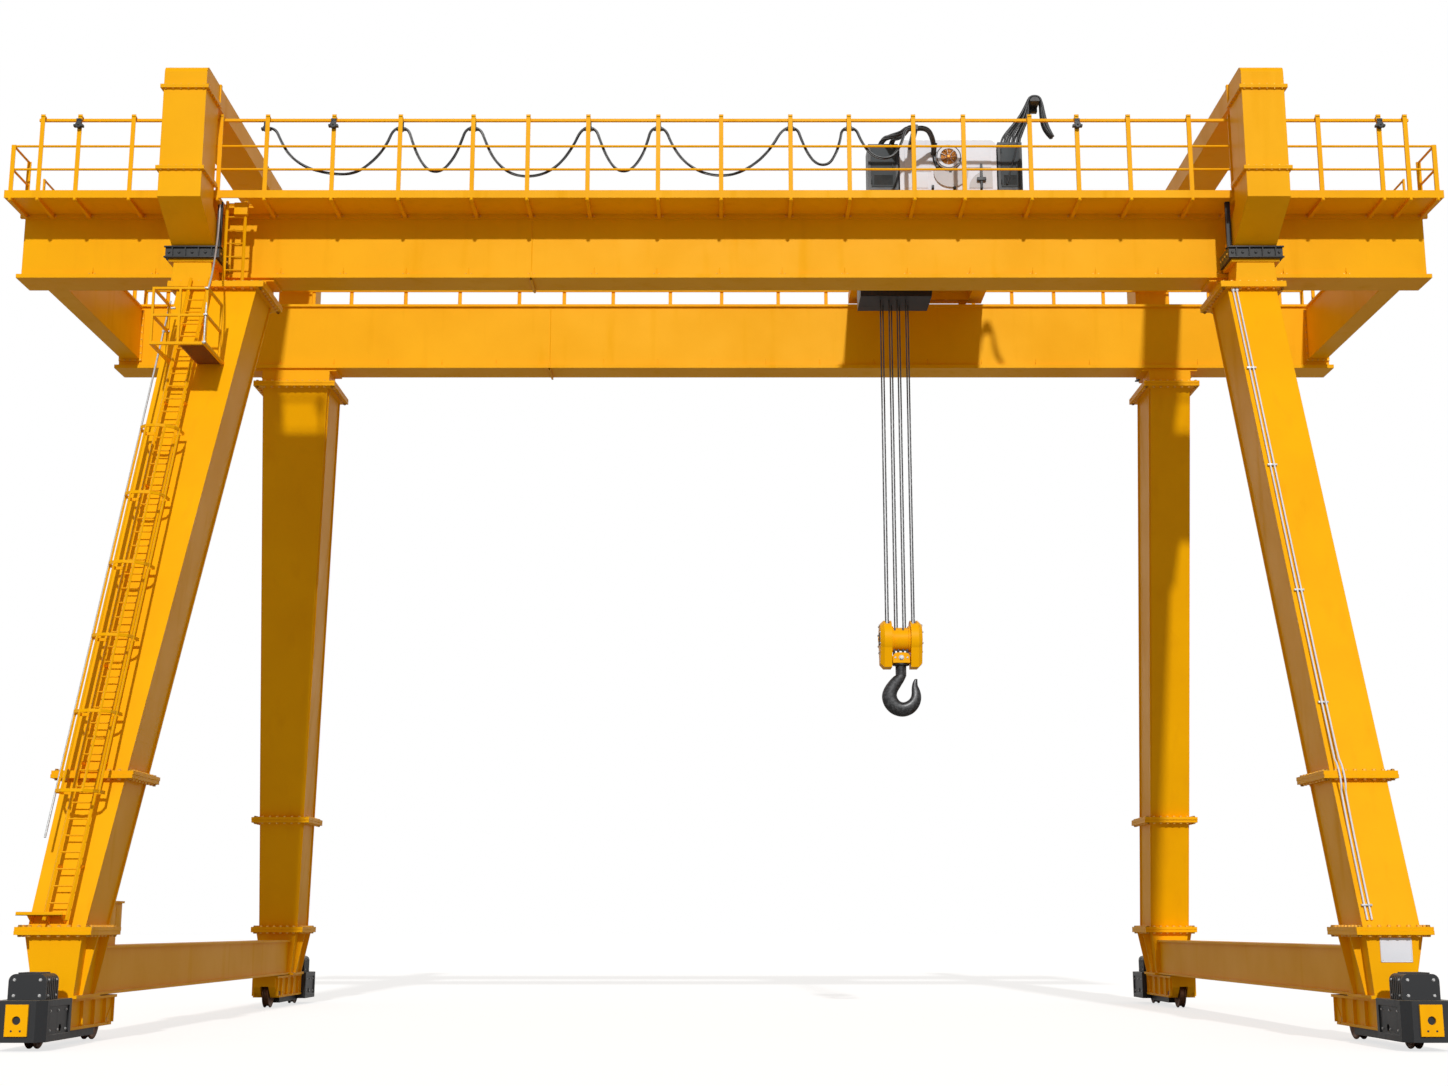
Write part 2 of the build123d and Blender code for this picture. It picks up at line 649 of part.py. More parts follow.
def drive_head(side):
    """The chamfered drive housing that holds the outer wheel, with a sunk panel on each side."""
    x, w, m = side * FOOT_X, HEAD_WIDTH / 2, HEAD_PANEL_MARGIN
    body = block(x - w, x + w, HEAD_Y0, FRAME_Y0, HEAD_Z0, HEAD_TOP)
    edges = body.edges().filter_by(Axis.Z).sort_by(Axis.Y)[:2]
    body = chamfer(edges, HEAD_CHAMFER)
    for s in (-1, 1):
        body -= block(x + s * w, x + s * (w - HEAD_PANEL_DEPTH), HEAD_Y0 + HEAD_CHAMFER + m, FRAME_Y0 - m,
                      HEAD_Z0 + m, HEAD_TOP - m)
    return body - pocket(x, WHEEL_OUT_Y, 0)


def drive_motor(side):
    """The ribbed geared motor on the drive head, with its coupling box towards the leg."""
    x, w = side * FOOT_X, MOTOR_W / 2
    y = HEAD_Y0 + HEAD_LEN / 2
    y0, y1 = y - MOTOR_LEN / 2, y + MOTOR_LEN / 2
    top = HEAD_TOP + MOTOR_H
    body = block(x - w, x + w, y0, y1, HEAD_TOP, top)
    body = fillet(body.edges().filter_by(Axis.Y).sort_by(Axis.Z)[-2:], MOTOR_ROUND)
    ribs = int((MOTOR_LEN - MOTOR_RIB_W) / MOTOR_RIB_PITCH)
    for i in range(1, ribs + 1):
        groove = y0 + i * MOTOR_RIB_PITCH - MOTOR_RIB_W / 2
        for s in (-1, 1):
            body -= block(x + s * w, x + s * (w - MOTOR_RIB_DEPTH), groove, groove + MOTOR_RIB_W, HEAD_TOP, top)
    body += block(x - COUPLING_W / 2, x + COUPLING_W / 2, y1, y1 + COUPLING_LEN, HEAD_TOP, HEAD_TOP + COUPLING_H)
    return body


def bumper(side):
    """The plate with a round hole on the outer end of the drive head."""
    x, w, h = side * FOOT_X, BUMPER_W / 2, BUMPER_H / 2
    z = (HEAD_Z0 + HEAD_TOP) / 2 + BUMPER_RISE
    plate = block(x - w, x + w, HEAD_Y0 - BUMPER_T, HEAD_Y0, z - h, z + h)
    return plate - Pos(x, HEAD_Y0, z) * Rot(90, 0, 0) * Cylinder(BUMPER_HOLE_D / 2, 4 * BUMPER_T)


def wheel(side, y):
    """A travel wheel with two flanges on its axle."""
    disc = across(WHEEL_TREAD_D / 2, WHEEL_W, WHEEL_SIDES)
    for s in (-1, 1):
        disc += Pos(s * (WHEEL_W - WHEEL_FLANGE_W) / 2, 0, 0) * across(WHEEL_FLANGE_D / 2, WHEEL_FLANGE_W, WHEEL_SIDES)
    disc += across(AXLE_D / 2, BOGIE_WIDTH + 2 * AXLE_REACH, AXLE_SIDES)
    return Pos(side * FOOT_X, y, AXLE_Z) * disc


for name, make in (("bogie_frames", bogie_frame), ("bogie_guards", bogie_guard), ("drive_heads", drive_head),
                   ("drive_motors", drive_motor), ("bumper_plates", bumper)):
    save_four(name, make)

for label, side in (("left", -1), ("right", 1)):
    for end, y in (("front_outer", WHEEL_OUT_Y), ("front_inner", WHEEL_IN_Y),
                   ("rear_inner", -WHEEL_IN_Y), ("rear_outer", -WHEEL_OUT_Y)):
        save("wheel_" + label + "_" + end, wheel(side, y))

# Portal frames
PORTAL_IN_Y = WALK_EDGE_Y + PORTAL_WALK_GAP
PORTAL_OUT_Y = PORTAL_IN_Y + PORTAL_DEPTH
BEAM_Z0 = SPLICE_Z + PORTAL_COLUMN_H
BEAM_Z1 = BEAM_Z0 + PORTAL_BEAM_H


def portal_flange(side, z0, z1):
    """A bolted flange around a portal column."""
    x, w = side * PORTAL_X, PORTAL_W / 2 + PORTAL_PLATE_LIP
    return block(x - w, x + w, -PORTAL_OUT_Y - PORTAL_PLATE_LIP, -PORTAL_IN_Y + PORTAL_REAR_LIP, z0, z1)


def portal_column(side):
    """An upright between two bolted flanges, outside the walkway."""
    x, w = side * PORTAL_X, PORTAL_W / 2
    body = block(x - w, x + w, -PORTAL_OUT_Y, -PORTAL_IN_Y, SPLICE_Z, BEAM_Z0)
    body += portal_flange(side, SPLICE_Z, SPLICE_Z + PORTAL_PLATE_T)
    body += portal_flange(side, BEAM_Z0 - PORTAL_PLATE_T, BEAM_Z0)
    return body


def portal_knee(side):
    """The cranked foot that runs in under the walkway to the leg head."""
    x, w = side * PORTAL_X, PORTAL_W / 2
    outline = [(-PORTAL_OUT_Y, SPLICE_Z), (-PORTAL_IN_Y, SPLICE_Z), (-PORTAL_IN_Y, SPLICE_Z - PORTAL_BACK_DROP),
               (-KNEE_IN_Y, KNEE_FOOT_Z + KNEE_TOE_H), (-KNEE_IN_Y, KNEE_FOOT_Z), (-KNEE_OUT_Y, KNEE_FOOT_Z),
               (-PORTAL_OUT_Y, SPLICE_Z - PORTAL_BEND_DROP)]
    return extruded_yz(outline, x - w, x + w) + portal_flange(side, SPLICE_Z - PORTAL_PLATE_T, SPLICE_Z)


def portal_beam(side):
    """The cross beam over the trolley way, with rounded outer corners and a band by each column."""
    x, w = side * PORTAL_X, PORTAL_W / 2
    beam = block(x - w, x + w, -PORTAL_OUT_Y, PORTAL_OUT_Y, BEAM_Z0, BEAM_Z1)
    beam = fillet(beam.edges().filter_by(Axis.X).group_by(Axis.Z)[-1], PORTAL_CORNER_R)
    flange = portal_flange(side, BEAM_Z0, BEAM_Z0 + PORTAL_PLATE_T)
    beam += flange
    beam += front_to_rear(flange)
    lip, y0 = BEAM_BAND_LIP, PORTAL_IN_Y - BEAM_BAND_GAP
    for s in (-1, 1):
        beam += block(x - w - lip, x + w + lip, s * y0, s * (y0 - BEAM_BAND_W), BEAM_Z0, BEAM_Z1 + lip)
    return beam


save_four("portal_columns", portal_column)
save_four("portal_knees", portal_knee)
save("portal_beams", portal_beam(-1), portal_beam(1))

# Walkways along the outside of the girders
POSTS = [share * HALF for share in POST_STATIONS]
TALL_POSTS = POSTS[1:-1]
POST_Y = -WALK_EDGE_Y + FASCIA_T + TUBE / 2
LEFT_HEAD_X = leg_section(-1, LEG_HEAD_Z)[0]
SHORT_LADDER_X = LEFT_HEAD_X + SHORT_LADDER_SHIFT
SHORT_LADDER_Y = -WALK_EDGE_Y + SHORT_LADDER_INSET


def walkway():
    """Deck, edge fascia, bearer along the web and the bars under the deck of the front walkway."""
    y0, y1 = -WALK_EDGE_Y, -WEB_OUT_Y
    deck = block(-HALF, HALF, y0, y1, WALK_UNDER, WALK_Z)
    deck += block(-HALF, HALF, y0, y0 + FASCIA_T, WALK_Z - FASCIA_DROP, WALK_Z - FASCIA_DROP + FASCIA_H)
    deck += block(-HALF, HALF, y1 - BEARER_W, y1, WALK_UNDER - BEARER_H, WALK_UNDER)
    outline = [(y1, WALK_UNDER), (y0 + FASCIA_T, WALK_UNDER), (y0 + FASCIA_T, WALK_UNDER - BRACKET_TIP_H),
               (y1, WALK_UNDER - BRACKET_ROOT_H)]
    for x in POSTS:
        deck += extruded_yz(outline, x - BRACKET_W / 2, x + BRACKET_W / 2)
    return deck


def rail_run(x0, x1, y, z):
    """A handrail tube along X."""
    return block(x0 - TUBE / 2, x1 + TUBE / 2, y - TUBE / 2, y + TUBE / 2, z - TUBE / 2, z + TUBE / 2)


def post(x, y, top):
    """A railing post on the deck."""
    return block(x - TUBE / 2, x + TUBE / 2, y - TUBE / 2, y + TUBE / 2, WALK_Z, top)


FESTOON_Z = WALK_Z + FESTOON_H
FESTOON_Y = POST_Y + FESTOON_STANDOFF
RAIL_UNDER = FESTOON_Z - ARM_H - FESTOON_RAIL


def railing():
    """Posts and two rails of a railing along a front walkway."""
    frame = rail_run(POSTS[0], POSTS[-1], POST_Y, WALK_Z + RAIL_TOP_H)
    frame += rail_run(POSTS[0], POSTS[-1], POST_Y, WALK_Z + RAIL_MID_H)
    for x in POSTS:
        frame += post(x, POST_Y, WALK_Z + RAIL_TOP_H)
    return frame


def tall_railing():
    """The front railing with all but its end posts run up to arms over the cable rail."""
    frame = railing()
    for x in TALL_POSTS:
        frame += post(x, POST_Y, FESTOON_Z)
        frame += block(x - ARM_W / 2, x + ARM_W / 2, POST_Y - TUBE / 2, FESTOON_Y + FESTOON_RAIL / 2,
                       FESTOON_Z - ARM_H, FESTOON_Z)
    return frame


front_deck = walkway() - block(SHORT_LADDER_X - HATCH_W / 2, SHORT_LADDER_X + HATCH_W / 2,
                               SHORT_LADDER_Y - HATCH_D / 2, SHORT_LADDER_Y + HATCH_D / 2, WALK_UNDER, WALK_Z)
save("walkways", front_deck, front_to_rear(walkway()))
save("railing_front", tall_railing())
save("railing_rear", front_to_rear(railing()))


def end_walkway(side):
    """The short deck over an end tie."""
    x1 = side * (HALF - END_WALK_GAP)
    y = WEB_IN_Y - TIE_FLANGE_T - END_WALK_GAP
    return block(x1, x1 - side * END_WALK_W, -y, y, TIE_Z1, TIE_Z1 + END_WALK_T)


def end_railing(side):
    """The railing along the outer edge of an end walkway."""
    x = side * (HALF - END_WALK_GAP - TUBE)
    y = WEB_IN_Y - TIE_FLANGE_T - END_WALK_GAP - TUBE
    deck = TIE_Z1 + END_WALK_T
    frame = None
    for height in (RAIL_MID_H, RAIL_TOP_H):
        z = WALK_Z + height
        run = block(x - TUBE / 2, x + TUBE / 2, -y, y, z - TUBE / 2, z + TUBE / 2)
        frame = run if frame is None else frame + run
    bays = max(1, round(2 * y / END_POST_PITCH))
    for i in range(bays + 1):
        at = -y + TUBE / 2 + i * (2 * y - TUBE) / bays
        frame += block(x - TUBE / 2, x + TUBE / 2, at - TUBE / 2, at + TUBE / 2, deck, WALK_Z + RAIL_TOP_H)
    return frame


save("end_walkways", end_walkway(-1), end_walkway(1))
save("end_railings", end_railing(-1), end_railing(1))

# Festoon rail, the fixed clamp and the hanging cable
save("festoon_rail", block(TALL_POSTS[0] - FESTOON_OVERHANG, TALL_POSTS[-1] + FESTOON_OVERHANG,
                           FESTOON_Y - FESTOON_RAIL / 2, FESTOON_Y + FESTOON_RAIL / 2,
                           RAIL_UNDER, RAIL_UNDER + FESTOON_RAIL))
anchor_x = CABLE_ROUTE[0][0]
save("cable_anchor", block(anchor_x - ANCHOR_LEN, anchor_x, FESTOON_Y - FESTOON_RAIL / 2, FESTOON_Y + FESTOON_RAIL / 2,
                           CABLE_Z - CABLE_D, RAIL_UNDER))


def bend_radii(points):
    """The largest arc that the two runs at each corner of a route leave room for."""
    radii = []
    for a, b, c in zip(points, points[1:], points[2:]):
        before, after = Vector(*b) - Vector(*a), Vector(*c) - Vector(*b)
        half_turn = math.radians(before.get_angle(after)) / 2
        radii.append(BEND_SHARE * min(before.length, after.length) / math.tan(half_turn))
    return radii


def tube(points, d, sides):
    """A tube with few sides along straight runs joined by tangent arcs."""
    radii = bend_radii(points)
    print("bends from", round(min(radii)), "mm")
    path = FilletPolyline(*points, radius=radii)
    return sweep(Plane(path @ 0, z_dir=path % 0) * RegularPolygon(d / 2, sides), path=path)


def festoon_cable():
    """The cable in hanging loops with the carriers that it hangs from."""
    body = tube([(x, FESTOON_Y, z) for x, z in CABLE_ROUTE], CABLE_D, CABLE_SIDES)
    for x in CARRIER_X:
        body += block(x - CARRIER_W / 2, x + CARRIER_W / 2, FESTOON_Y - FESTOON_RAIL / 2, FESTOON_Y + FESTOON_RAIL / 2,
                      CABLE_Z - CABLE_D / 4, RAIL_UNDER - CARRIER_PLAY)
    return body


save("festoon_cable", festoon_cable())

# Ladder with a cage on the front left leg
LADDER_FOOT_Z = LEG_FOOT_Z + LADDER_FOOT_GAP
LADDER_HEAD_Z = LEG_HEAD_Z + LADDER_HEAD_RISE


def leg_face_y(z):
    """Front face of the front left leg at a height."""
    x, y, w, d = leg_section(-1, z)
    return y - d / 2


def ladder_point(z, sideways, out=0.0):
    """A point at a height, a distance to the right of the ladder's middle and out in front of it."""
    t = (z - LADDER_FOOT_Z) / (LADDER_HEAD_Z - LADDER_FOOT_Z)
    shift = LADDER_FOOT_SHIFT - t * (LADDER_FOOT_SHIFT + LADDER_HEAD_SHIFT)
    return leg_section(-1, z)[0] + shift + sideways, leg_face_y(z) - LADDER_STAND - out, z


def hoop(z):
    """One cage hoop: a flat bar bent round from stringer to stringer."""
    x, y, _ = ladder_point(z, 0)
    ring = RegularPolygon(HOOP_R, HOOP_SIDES) - RegularPolygon(HOOP_R - HOOP_T, HOOP_SIDES)
    ring -= Pos(0, HOOP_R) * Rectangle(4 * HOOP_R, 2 * HOOP_R)
    side_x = HOOP_R - HOOP_T / 2
    for s in (-1, 1):
        ring += Pos(s * side_x, HOOP_REACH / 2) * Rectangle(HOOP_T, HOOP_REACH)
        ring += Pos(s * (side_x + LADDER_W / 2) / 2, HOOP_REACH) * Rectangle(side_x - LADDER_W / 2 + HOOP_T, HOOP_T)
    return Pos(x, y - HOOP_REACH, z) * extrude(ring, HOOP_W)


def ladder():
    """Stringers, rungs, stays back to the leg and a cage of hoops and straps, fused."""
    w = LADDER_W / 2
    body = bar(ladder_point(LADDER_FOOT_Z, -w), ladder_point(LADDER_HEAD_Z, -w), STRINGER_D, 4)
    body += bar(ladder_point(LADDER_FOOT_Z, w), ladder_point(LADDER_HEAD_Z, w), STRINGER_D, 4)
    pieces = []
    for i in range(1, int((LADDER_HEAD_Z - LADDER_FOOT_Z) / RUNG_PITCH)):
        z = LADDER_FOOT_Z + i * RUNG_PITCH
        pieces.append(bar(ladder_point(z, -w), ladder_point(z, w), RUNG_D, 4))
    for i in range(int((LEG_HEAD_Z - LADDER_FOOT_Z) / STAY_PITCH)):
        z = LADDER_FOOT_Z + STAY_PITCH / 2 + i * STAY_PITCH
        for s in (-1, 1):
            p = ladder_point(z, s * w)
            pieces.append(bar(p, (p[0], leg_face_y(z) + LEG_FACE_T, z), STRINGER_D, 4))
    levels = [HOOP_FIRST_Z + i * HOOP_PITCH for i in range(HOOP_COUNT)]
    pieces.extend(hoop(z) for z in levels)
    ring = HOOP_R - HOOP_T / 2
    for turn in (-90, -30, 30, 90):
        sideways, out = ring * math.sin(math.radians(turn)), ring * math.cos(math.radians(turn))
        pieces.append(bar(ladder_point(levels[0], sideways, out + HOOP_REACH),
                          ladder_point(levels[-1] + HOOP_W, sideways, out + HOOP_REACH), STRAP_D, 4))
    body = body + pieces
    return body - leg_lower(-1) - leg_upper(-1)


def short_ladder():
    """The upright ladder from the leg head through the hatch of the walkway."""
    x, y, w = SHORT_LADDER_X, SHORT_LADDER_Y, LADDER_W / 2
    z0, z1 = LEG_HEAD_Z + SADDLE_PLATE_T, WALK_Z
    body = bar((x - w, y, z0), (x - w, y, z1), STRINGER_D, 4)
    body += bar((x + w, y, z0), (x + w, y, z1), STRINGER_D, 4)
    for i in range(1, int((z1 - z0) / RUNG_PITCH) + 1):
        z = z0 + i * RUNG_PITCH
        body += bar((x - w, y, z), (x + w, y, z), RUNG_D, 4)
    return body


def landing():
    """The railed landing beside the ladder, held against the leg's front face."""
    x0 = ladder_point(LANDING_Z, 0)[0] - LANDING_LEFT
    x1 = x0 + LANDING_W
    back = leg_face_y(LANDING_Z)
    y0, y1, y2 = back - LANDING_D, back + LEG_FACE_T, back - LADDER_STAND - LANDING_BEAM
    z0, z1, b = LANDING_Z - LANDING_BEAM, LANDING_Z, LANDING_BEAM
    body = block(x1 - LANDING_FLOOR_W, x1, y0, y1, LANDING_Z - LANDING_FLOOR_T, z1)
    body += block(x0, x1, y0, y0 + b, z0, z1)
    body += block(x0, x0 + b, y0, y1, z0, z1)
    body += block(x1 - b, x1, y0, y1, z0, z1)
    t = TUBE
    for height in (LANDING_MID_H, LANDING_RAIL_H):
        z = LANDING_Z + height
        body += block(x0, x1, y0, y0 + t, z - t / 2, z + t / 2)
        for x in (x0, x1 - t):
            body += block(x, x + t, y0, y2, z - t / 2, z + t / 2)
    for x in (x0, (x0 + x1 - t) / 2, x1 - t):
        body += block(x, x + t, y0, y0 + t, z0, LANDING_Z + LANDING_RAIL_H)
    for x in (x0, x1 - t):
        body += block(x, x + t, y2 - t, y2, z0, LANDING_Z + LANDING_RAIL_H)
    return body - leg_upper(-1)


save("ladder", ladder())
save("short_ladder", short_ladder())
save("ladder_landing", landing())


def cabinet():
    """The switch cabinet on the left sill: a stand, a body and an overhanging roof."""
    x, y = -FOOT_X, -CABINET_Y
    w, d = CABINET_W / 2, CABINET_D / 2
    inner_w, inner_d = w - CABINET_STAND_INSET, d - CABINET_STAND_INSET
    z1 = SILL_Z1 + CABINET_STAND_H
    z2 = z1 + CABINET_H
    body = block(x - inner_w, x + inner_w, y - inner_d, y + inner_d, SILL_Z1, z1)
    body += block(x - w, x + w, y - d, y + d, z1, z2)
    lip = CABINET_ROOF_LIP
    body += block(x - w - lip, x + w + lip, y - d - lip, y + d + lip, z2, z2 + CABINET_ROOF_T)
    return body


save("cabinet", cabinet())

# Trolley frame
TRUCK_Z0 = RAIL_TOP + TRUCK_GAP
TRUCK_Z1 = TRUCK_Z0 + TRUCK_H
DECK_Z = TRUCK_Z1 + DECK_T
TROLLEY_X0 = TROLLEY_X - TROLLEY_LEN / 2
TROLLEY_X1 = TROLLEY_X + TROLLEY_LEN / 2
FRONT_Y = -RAIL_Y - FRONT_REACH
ROPE_X = TROLLEY_X0 + CROSS_W + UPPER_GAP + UPPER_W / 2


def trolley_frame():
    """End trucks over the rails, cross beams and a deck, on runner wheels."""
    frame = block(TROLLEY_X0, TROLLEY_X1, -RAIL_Y - TRUCK_W / 2, RAIL_Y + TRUCK_W / 2, TRUCK_Z1, DECK_Z)
    frame += block(TROLLEY_X0, TROLLEY_X1, FRONT_Y, -RAIL_Y, TRUCK_Z1, DECK_Z)
    for s in (-1, 1):
        y = s * RAIL_Y
        frame += block(TROLLEY_X0, TROLLEY_X1, y - TRUCK_W / 2, y + TRUCK_W / 2, TRUCK_Z0, TRUCK_Z1)
        for x in (TROLLEY_X0 + RUNNER_INSET, TROLLEY_X1 - RUNNER_INSET):
            z = RAIL_TOP + RUNNER_PLAY + RUNNER_D / 2
            frame += Pos(x, y, z) * Rot(90, 0, 0) * Cylinder(RUNNER_D / 2, RUNNER_W)
    for x in (TROLLEY_X0, TROLLEY_X1 - CROSS_W):
        frame += block(x, x + CROSS_W, -RAIL_Y, RAIL_Y, TRUCK_Z0, TRUCK_Z1)
    return frame


save("trolley_frame", trolley_frame())

HOUSING_X0 = TROLLEY_X0 + LEFT_CABINET_W + TROLLEY_CABINET_GAP
HOUSING_X1 = TROLLEY_X1 - RIGHT_CABINET_W - TROLLEY_CABINET_GAP
BELL_X = HOUSING_X0 + BELL_SHIFT
BELL_Z = DECK_Z + BELL_RISE


def housing():
    """The hoist housing, with rounded upper edges."""
    body = block(HOUSING_X0, HOUSING_X1, FRONT_Y, FRONT_Y + HOUSING_D, DECK_Z, DECK_Z + HOUSING_H)
    return fillet(body.edges().filter_by(Axis.Y).sort_by(Axis.Z)[-2:], HOUSING_ROUND)


def motor_bell():
    """The round end bell of the hoist motor with its fan, on the front of the housing."""
    facing = Plane((BELL_X, FRONT_Y, BELL_Z), x_dir=(1, 0, 0), z_dir=(0, -1, 0))
    bell = extrude(facing * Circle(BELL_D / 2), BELL_PROUD)
    well = extrude(facing * Circle(FAN_D / 2), BELL_PROUD)
    bell -= Pos(0, -(BELL_PROUD - FAN_DEPTH), 0) * well
    hub = extrude(facing * Circle(FAN_HUB_D / 2), BELL_PROUD)
    for i in range(FAN_BLADES):
        blade = Rot(0, 0, i * 360 / FAN_BLADES) * Pos(FAN_D / 4, 0) * Rectangle(FAN_D / 2, FAN_BLADE_T)
        hub += extrude(facing * blade, BELL_PROUD)
    return bell + hub


def trolley_cabinet(x0, x1, height):
    """A control cabinet on the trolley with a sunk front panel."""
    body = block(x0, x1, FRONT_Y, FRONT_Y + TROLLEY_CABINET_D, DECK_Z, DECK_Z + height)
    f = CABINET_FRAME
    return body - block(x0 + f, x1 - f, FRONT_Y, FRONT_Y + CABINET_RECESS, DECK_Z + f, DECK_Z + height - f)


def hoist_drum():
    """The rope drum with rims, on a stand at each end."""
    z = DECK_Z + DRUM_RISE
    lying = Pos(ROPE_X, 0, z) * Rot(90, 0, 0)
    drum = lying * Cylinder(DRUM_D / 2, DRUM_LEN)
    for s in (-1, 1):
        drum += lying * Pos(0, 0, s * (DRUM_LEN - DRUM_RIM_T) / 2) * Cylinder(DRUM_RIM_D / 2, DRUM_RIM_T)
        y = s * DRUM_LEN / 2
        drum += block(ROPE_X - DRUM_STAND_W / 2, ROPE_X + DRUM_STAND_W / 2, y, y + s * DRUM_STAND_T,
                      DECK_Z, DECK_Z + DRUM_STAND_H)
    return drum


MAST_X = TROLLEY_X1 - MAST_W / 2
MAST_Y = FRONT_Y + TROLLEY_CABINET_D - MAST_BACK - MAST_W / 2
MAST_Z = DECK_Z + MAST_H
SADDLE_X = MAST_X + MAST_REACH
MAST_CABLE_Y = FRONT_Y + MAST_CABLE_INSET


def cable_mast():
    """The mast on the right cabinet, its arm and a round saddle for the cable bundle in front of it."""
    w, r = MAST_W / 2, MAST_SADDLE_W / 2
    top = MAST_Z - r
    front = MAST_CABLE_Y - MAST_SADDLE_MARGIN
    body = block(MAST_X - w, MAST_X + w, MAST_Y - w, MAST_Y + w, DECK_Z + RIGHT_CABINET_H, top)
    body += block(MAST_X - w, SADDLE_X + r, MAST_Y - w, MAST_Y + w, top - MAST_ARM_H, top)
    facing = Plane((SADDLE_X, front, top), x_dir=(1, 0, 0), z_dir=(0, 1, 0))
    saddle = Circle(r) & Pos(0, -r) * Rectangle(2 * r, 2 * r)
    return body + extrude(facing * saddle, MAST_Y + w - front)


save("hoist_housing", housing())
save("motor_bell", motor_bell())
save("trolley_cabinets", trolley_cabinet(TROLLEY_X0, TROLLEY_X0 + LEFT_CABINET_W, LEFT_CABINET_H),
     trolley_cabinet(TROLLEY_X1 - RIGHT_CABINET_W, TROLLEY_X1, RIGHT_CABINET_H))
save("hoist_drum", hoist_drum())
save("cable_mast", cable_mast())
save("mast_cable", tube([(SADDLE_X + x, MAST_CABLE_Y, MAST_Z + z) for x, z in MAST_ROUTE], MAST_CABLE_D, CABLE_SIDES))

tow_x = CABLE_ROUTE[-1][0]
save("tow_arm", block(tow_x, tow_x + TOW_ARM, FESTOON_Y - TOW_ARM / 2, FRONT_Y, CABLE_Z - TOW_ARM / 2,
                      CABLE_Z + TOW_ARM / 2))


def upper_block():
    """The upper sheave block under the trolley: a narrow neck between the cross beams and a wide skirt."""
    neck, z1 = UPPER_W / 2, TRUCK_Z0 - UPPER_GAP
    outline = [(-neck, TRUCK_Z1), (neck, TRUCK_Z1), (neck, z1), (SKIRT_RIGHT, z1),
               (SKIRT_RIGHT - SKIRT_RAKE, UPPER_Z0), (-SKIRT_LEFT, UPPER_Z0), (-SKIRT_LEFT, z1), (-neck, z1)]
    return extruded_xz([(ROPE_X + x, z) for x, z in outline], -UPPER_D / 2, UPPER_D / 2)


save("upper_block", upper_block())

ropes = []
for sheave in (-SHEAVE_OUTER_X, -SHEAVE_INNER_X, SHEAVE_INNER_X, SHEAVE_OUTER_X):
    for s in (-1, 1):
        x, y = ROPE_X + sheave + s * ROPE_SKEW, s * ROPE_Y
        z0 = BLOCK_TOP - GUARD_SLOT_H
        ropes.append(bar((x, y, z0), (x, y, UPPER_Z0), ROPE_D, 6))
save("hoist_ropes", *ropes)

# Hook block
COVER_Z = BLOCK_TOP - GUARD_R


def sheave_guard(side):
    """A guard of the block: a round head drawn down to a narrower foot, bevelled on its outer face."""
    x0, x1 = side * BLOCK_GAP / 2, side * (BLOCK_GAP / 2 + GUARD_T)
    foot = GUARD_FOOT_W / 2
    face = Pos(0, COVER_Z) * Circle(GUARD_R)
    face += make_face(Polyline((-GUARD_R, COVER_Z), (-foot, BLOCK_Z0), (foot, BLOCK_Z0), (GUARD_R, COVER_Z), close=True))
    facing = Plane((ROPE_X + min(x0, x1), 0, 0), x_dir=(0, 1, 0), z_dir=(1, 0, 0))
    body = extrude(facing * face, GUARD_T)
    outer = body.faces().sort_by(Axis.X)[-1 if side > 0 else 0]
    body = chamfer(outer.edges(), GUARD_BEVEL)
    slot = ROPE_X + side * SHEAVE_OUTER_X
    body -= block(slot - GUARD_SLOT_W / 2, slot + GUARD_SLOT_W / 2, -GUARD_R, GUARD_R, BLOCK_TOP - GUARD_SLOT_H, BLOCK_TOP)
    return body + Pos(ROPE_X + x1 + side * HUB_T / 2, 0, COVER_Z) * across(HUB_D / 2, HUB_T)


def sheave_cover():
    """The round cover over the middle sheaves, with a rim by each guard."""
    cover = across(COVER_D / 2, BLOCK_GAP)
    for s in (-1, 1):
        cover += Pos(s * (BLOCK_GAP - COVER_RIM_W) / 2, 0, 0) * across(COVER_RIM_D / 2, COVER_RIM_W)
    cover = Pos(ROPE_X, 0, COVER_Z) * cover
    top = COVER_Z + COVER_RIM_D / 2
    return cover - block(ROPE_X - SHEAVE_INNER_X - GUARD_SLOT_W / 2, ROPE_X + SHEAVE_INNER_X + GUARD_SLOT_W / 2,
                         -ROPE_Y - ROPE_D, ROPE_Y + ROPE_D, BLOCK_TOP - GUARD_SLOT_H - COVER_RIM_W, top)


def trunnion():
    """The round-topped crosshead on pins between the guards, bored for the hook's shank."""
    z1 = TRUNNION_Z0 + TRUNNION_H
    body = block(ROPE_X - TRUNNION_W / 2, ROPE_X + TRUNNION_W / 2, -TRUNNION_D / 2, TRUNNION_D / 2, TRUNNION_Z0, z1)
    body = fillet(body.edges().filter_by(Axis.Y).sort_by(Axis.Z)[-2:], TRUNNION_ROUND)
    body += Pos(ROPE_X, 0, TRUNNION_Z0 + TRUNNION_H / 2) * across(TRUNNION_PIN_D / 2, BLOCK_GAP)
    return body - Pos(ROPE_X, 0, (TRUNNION_Z0 + z1) / 2) * Cylinder(SHANK_D / 2 + SHANK_PLAY, 2 * TRUNNION_H)


save("block_guards", sheave_guard(-1), sheave_guard(1))
save("block_cover", sheave_cover())
save("block_trunnion", trunnion())


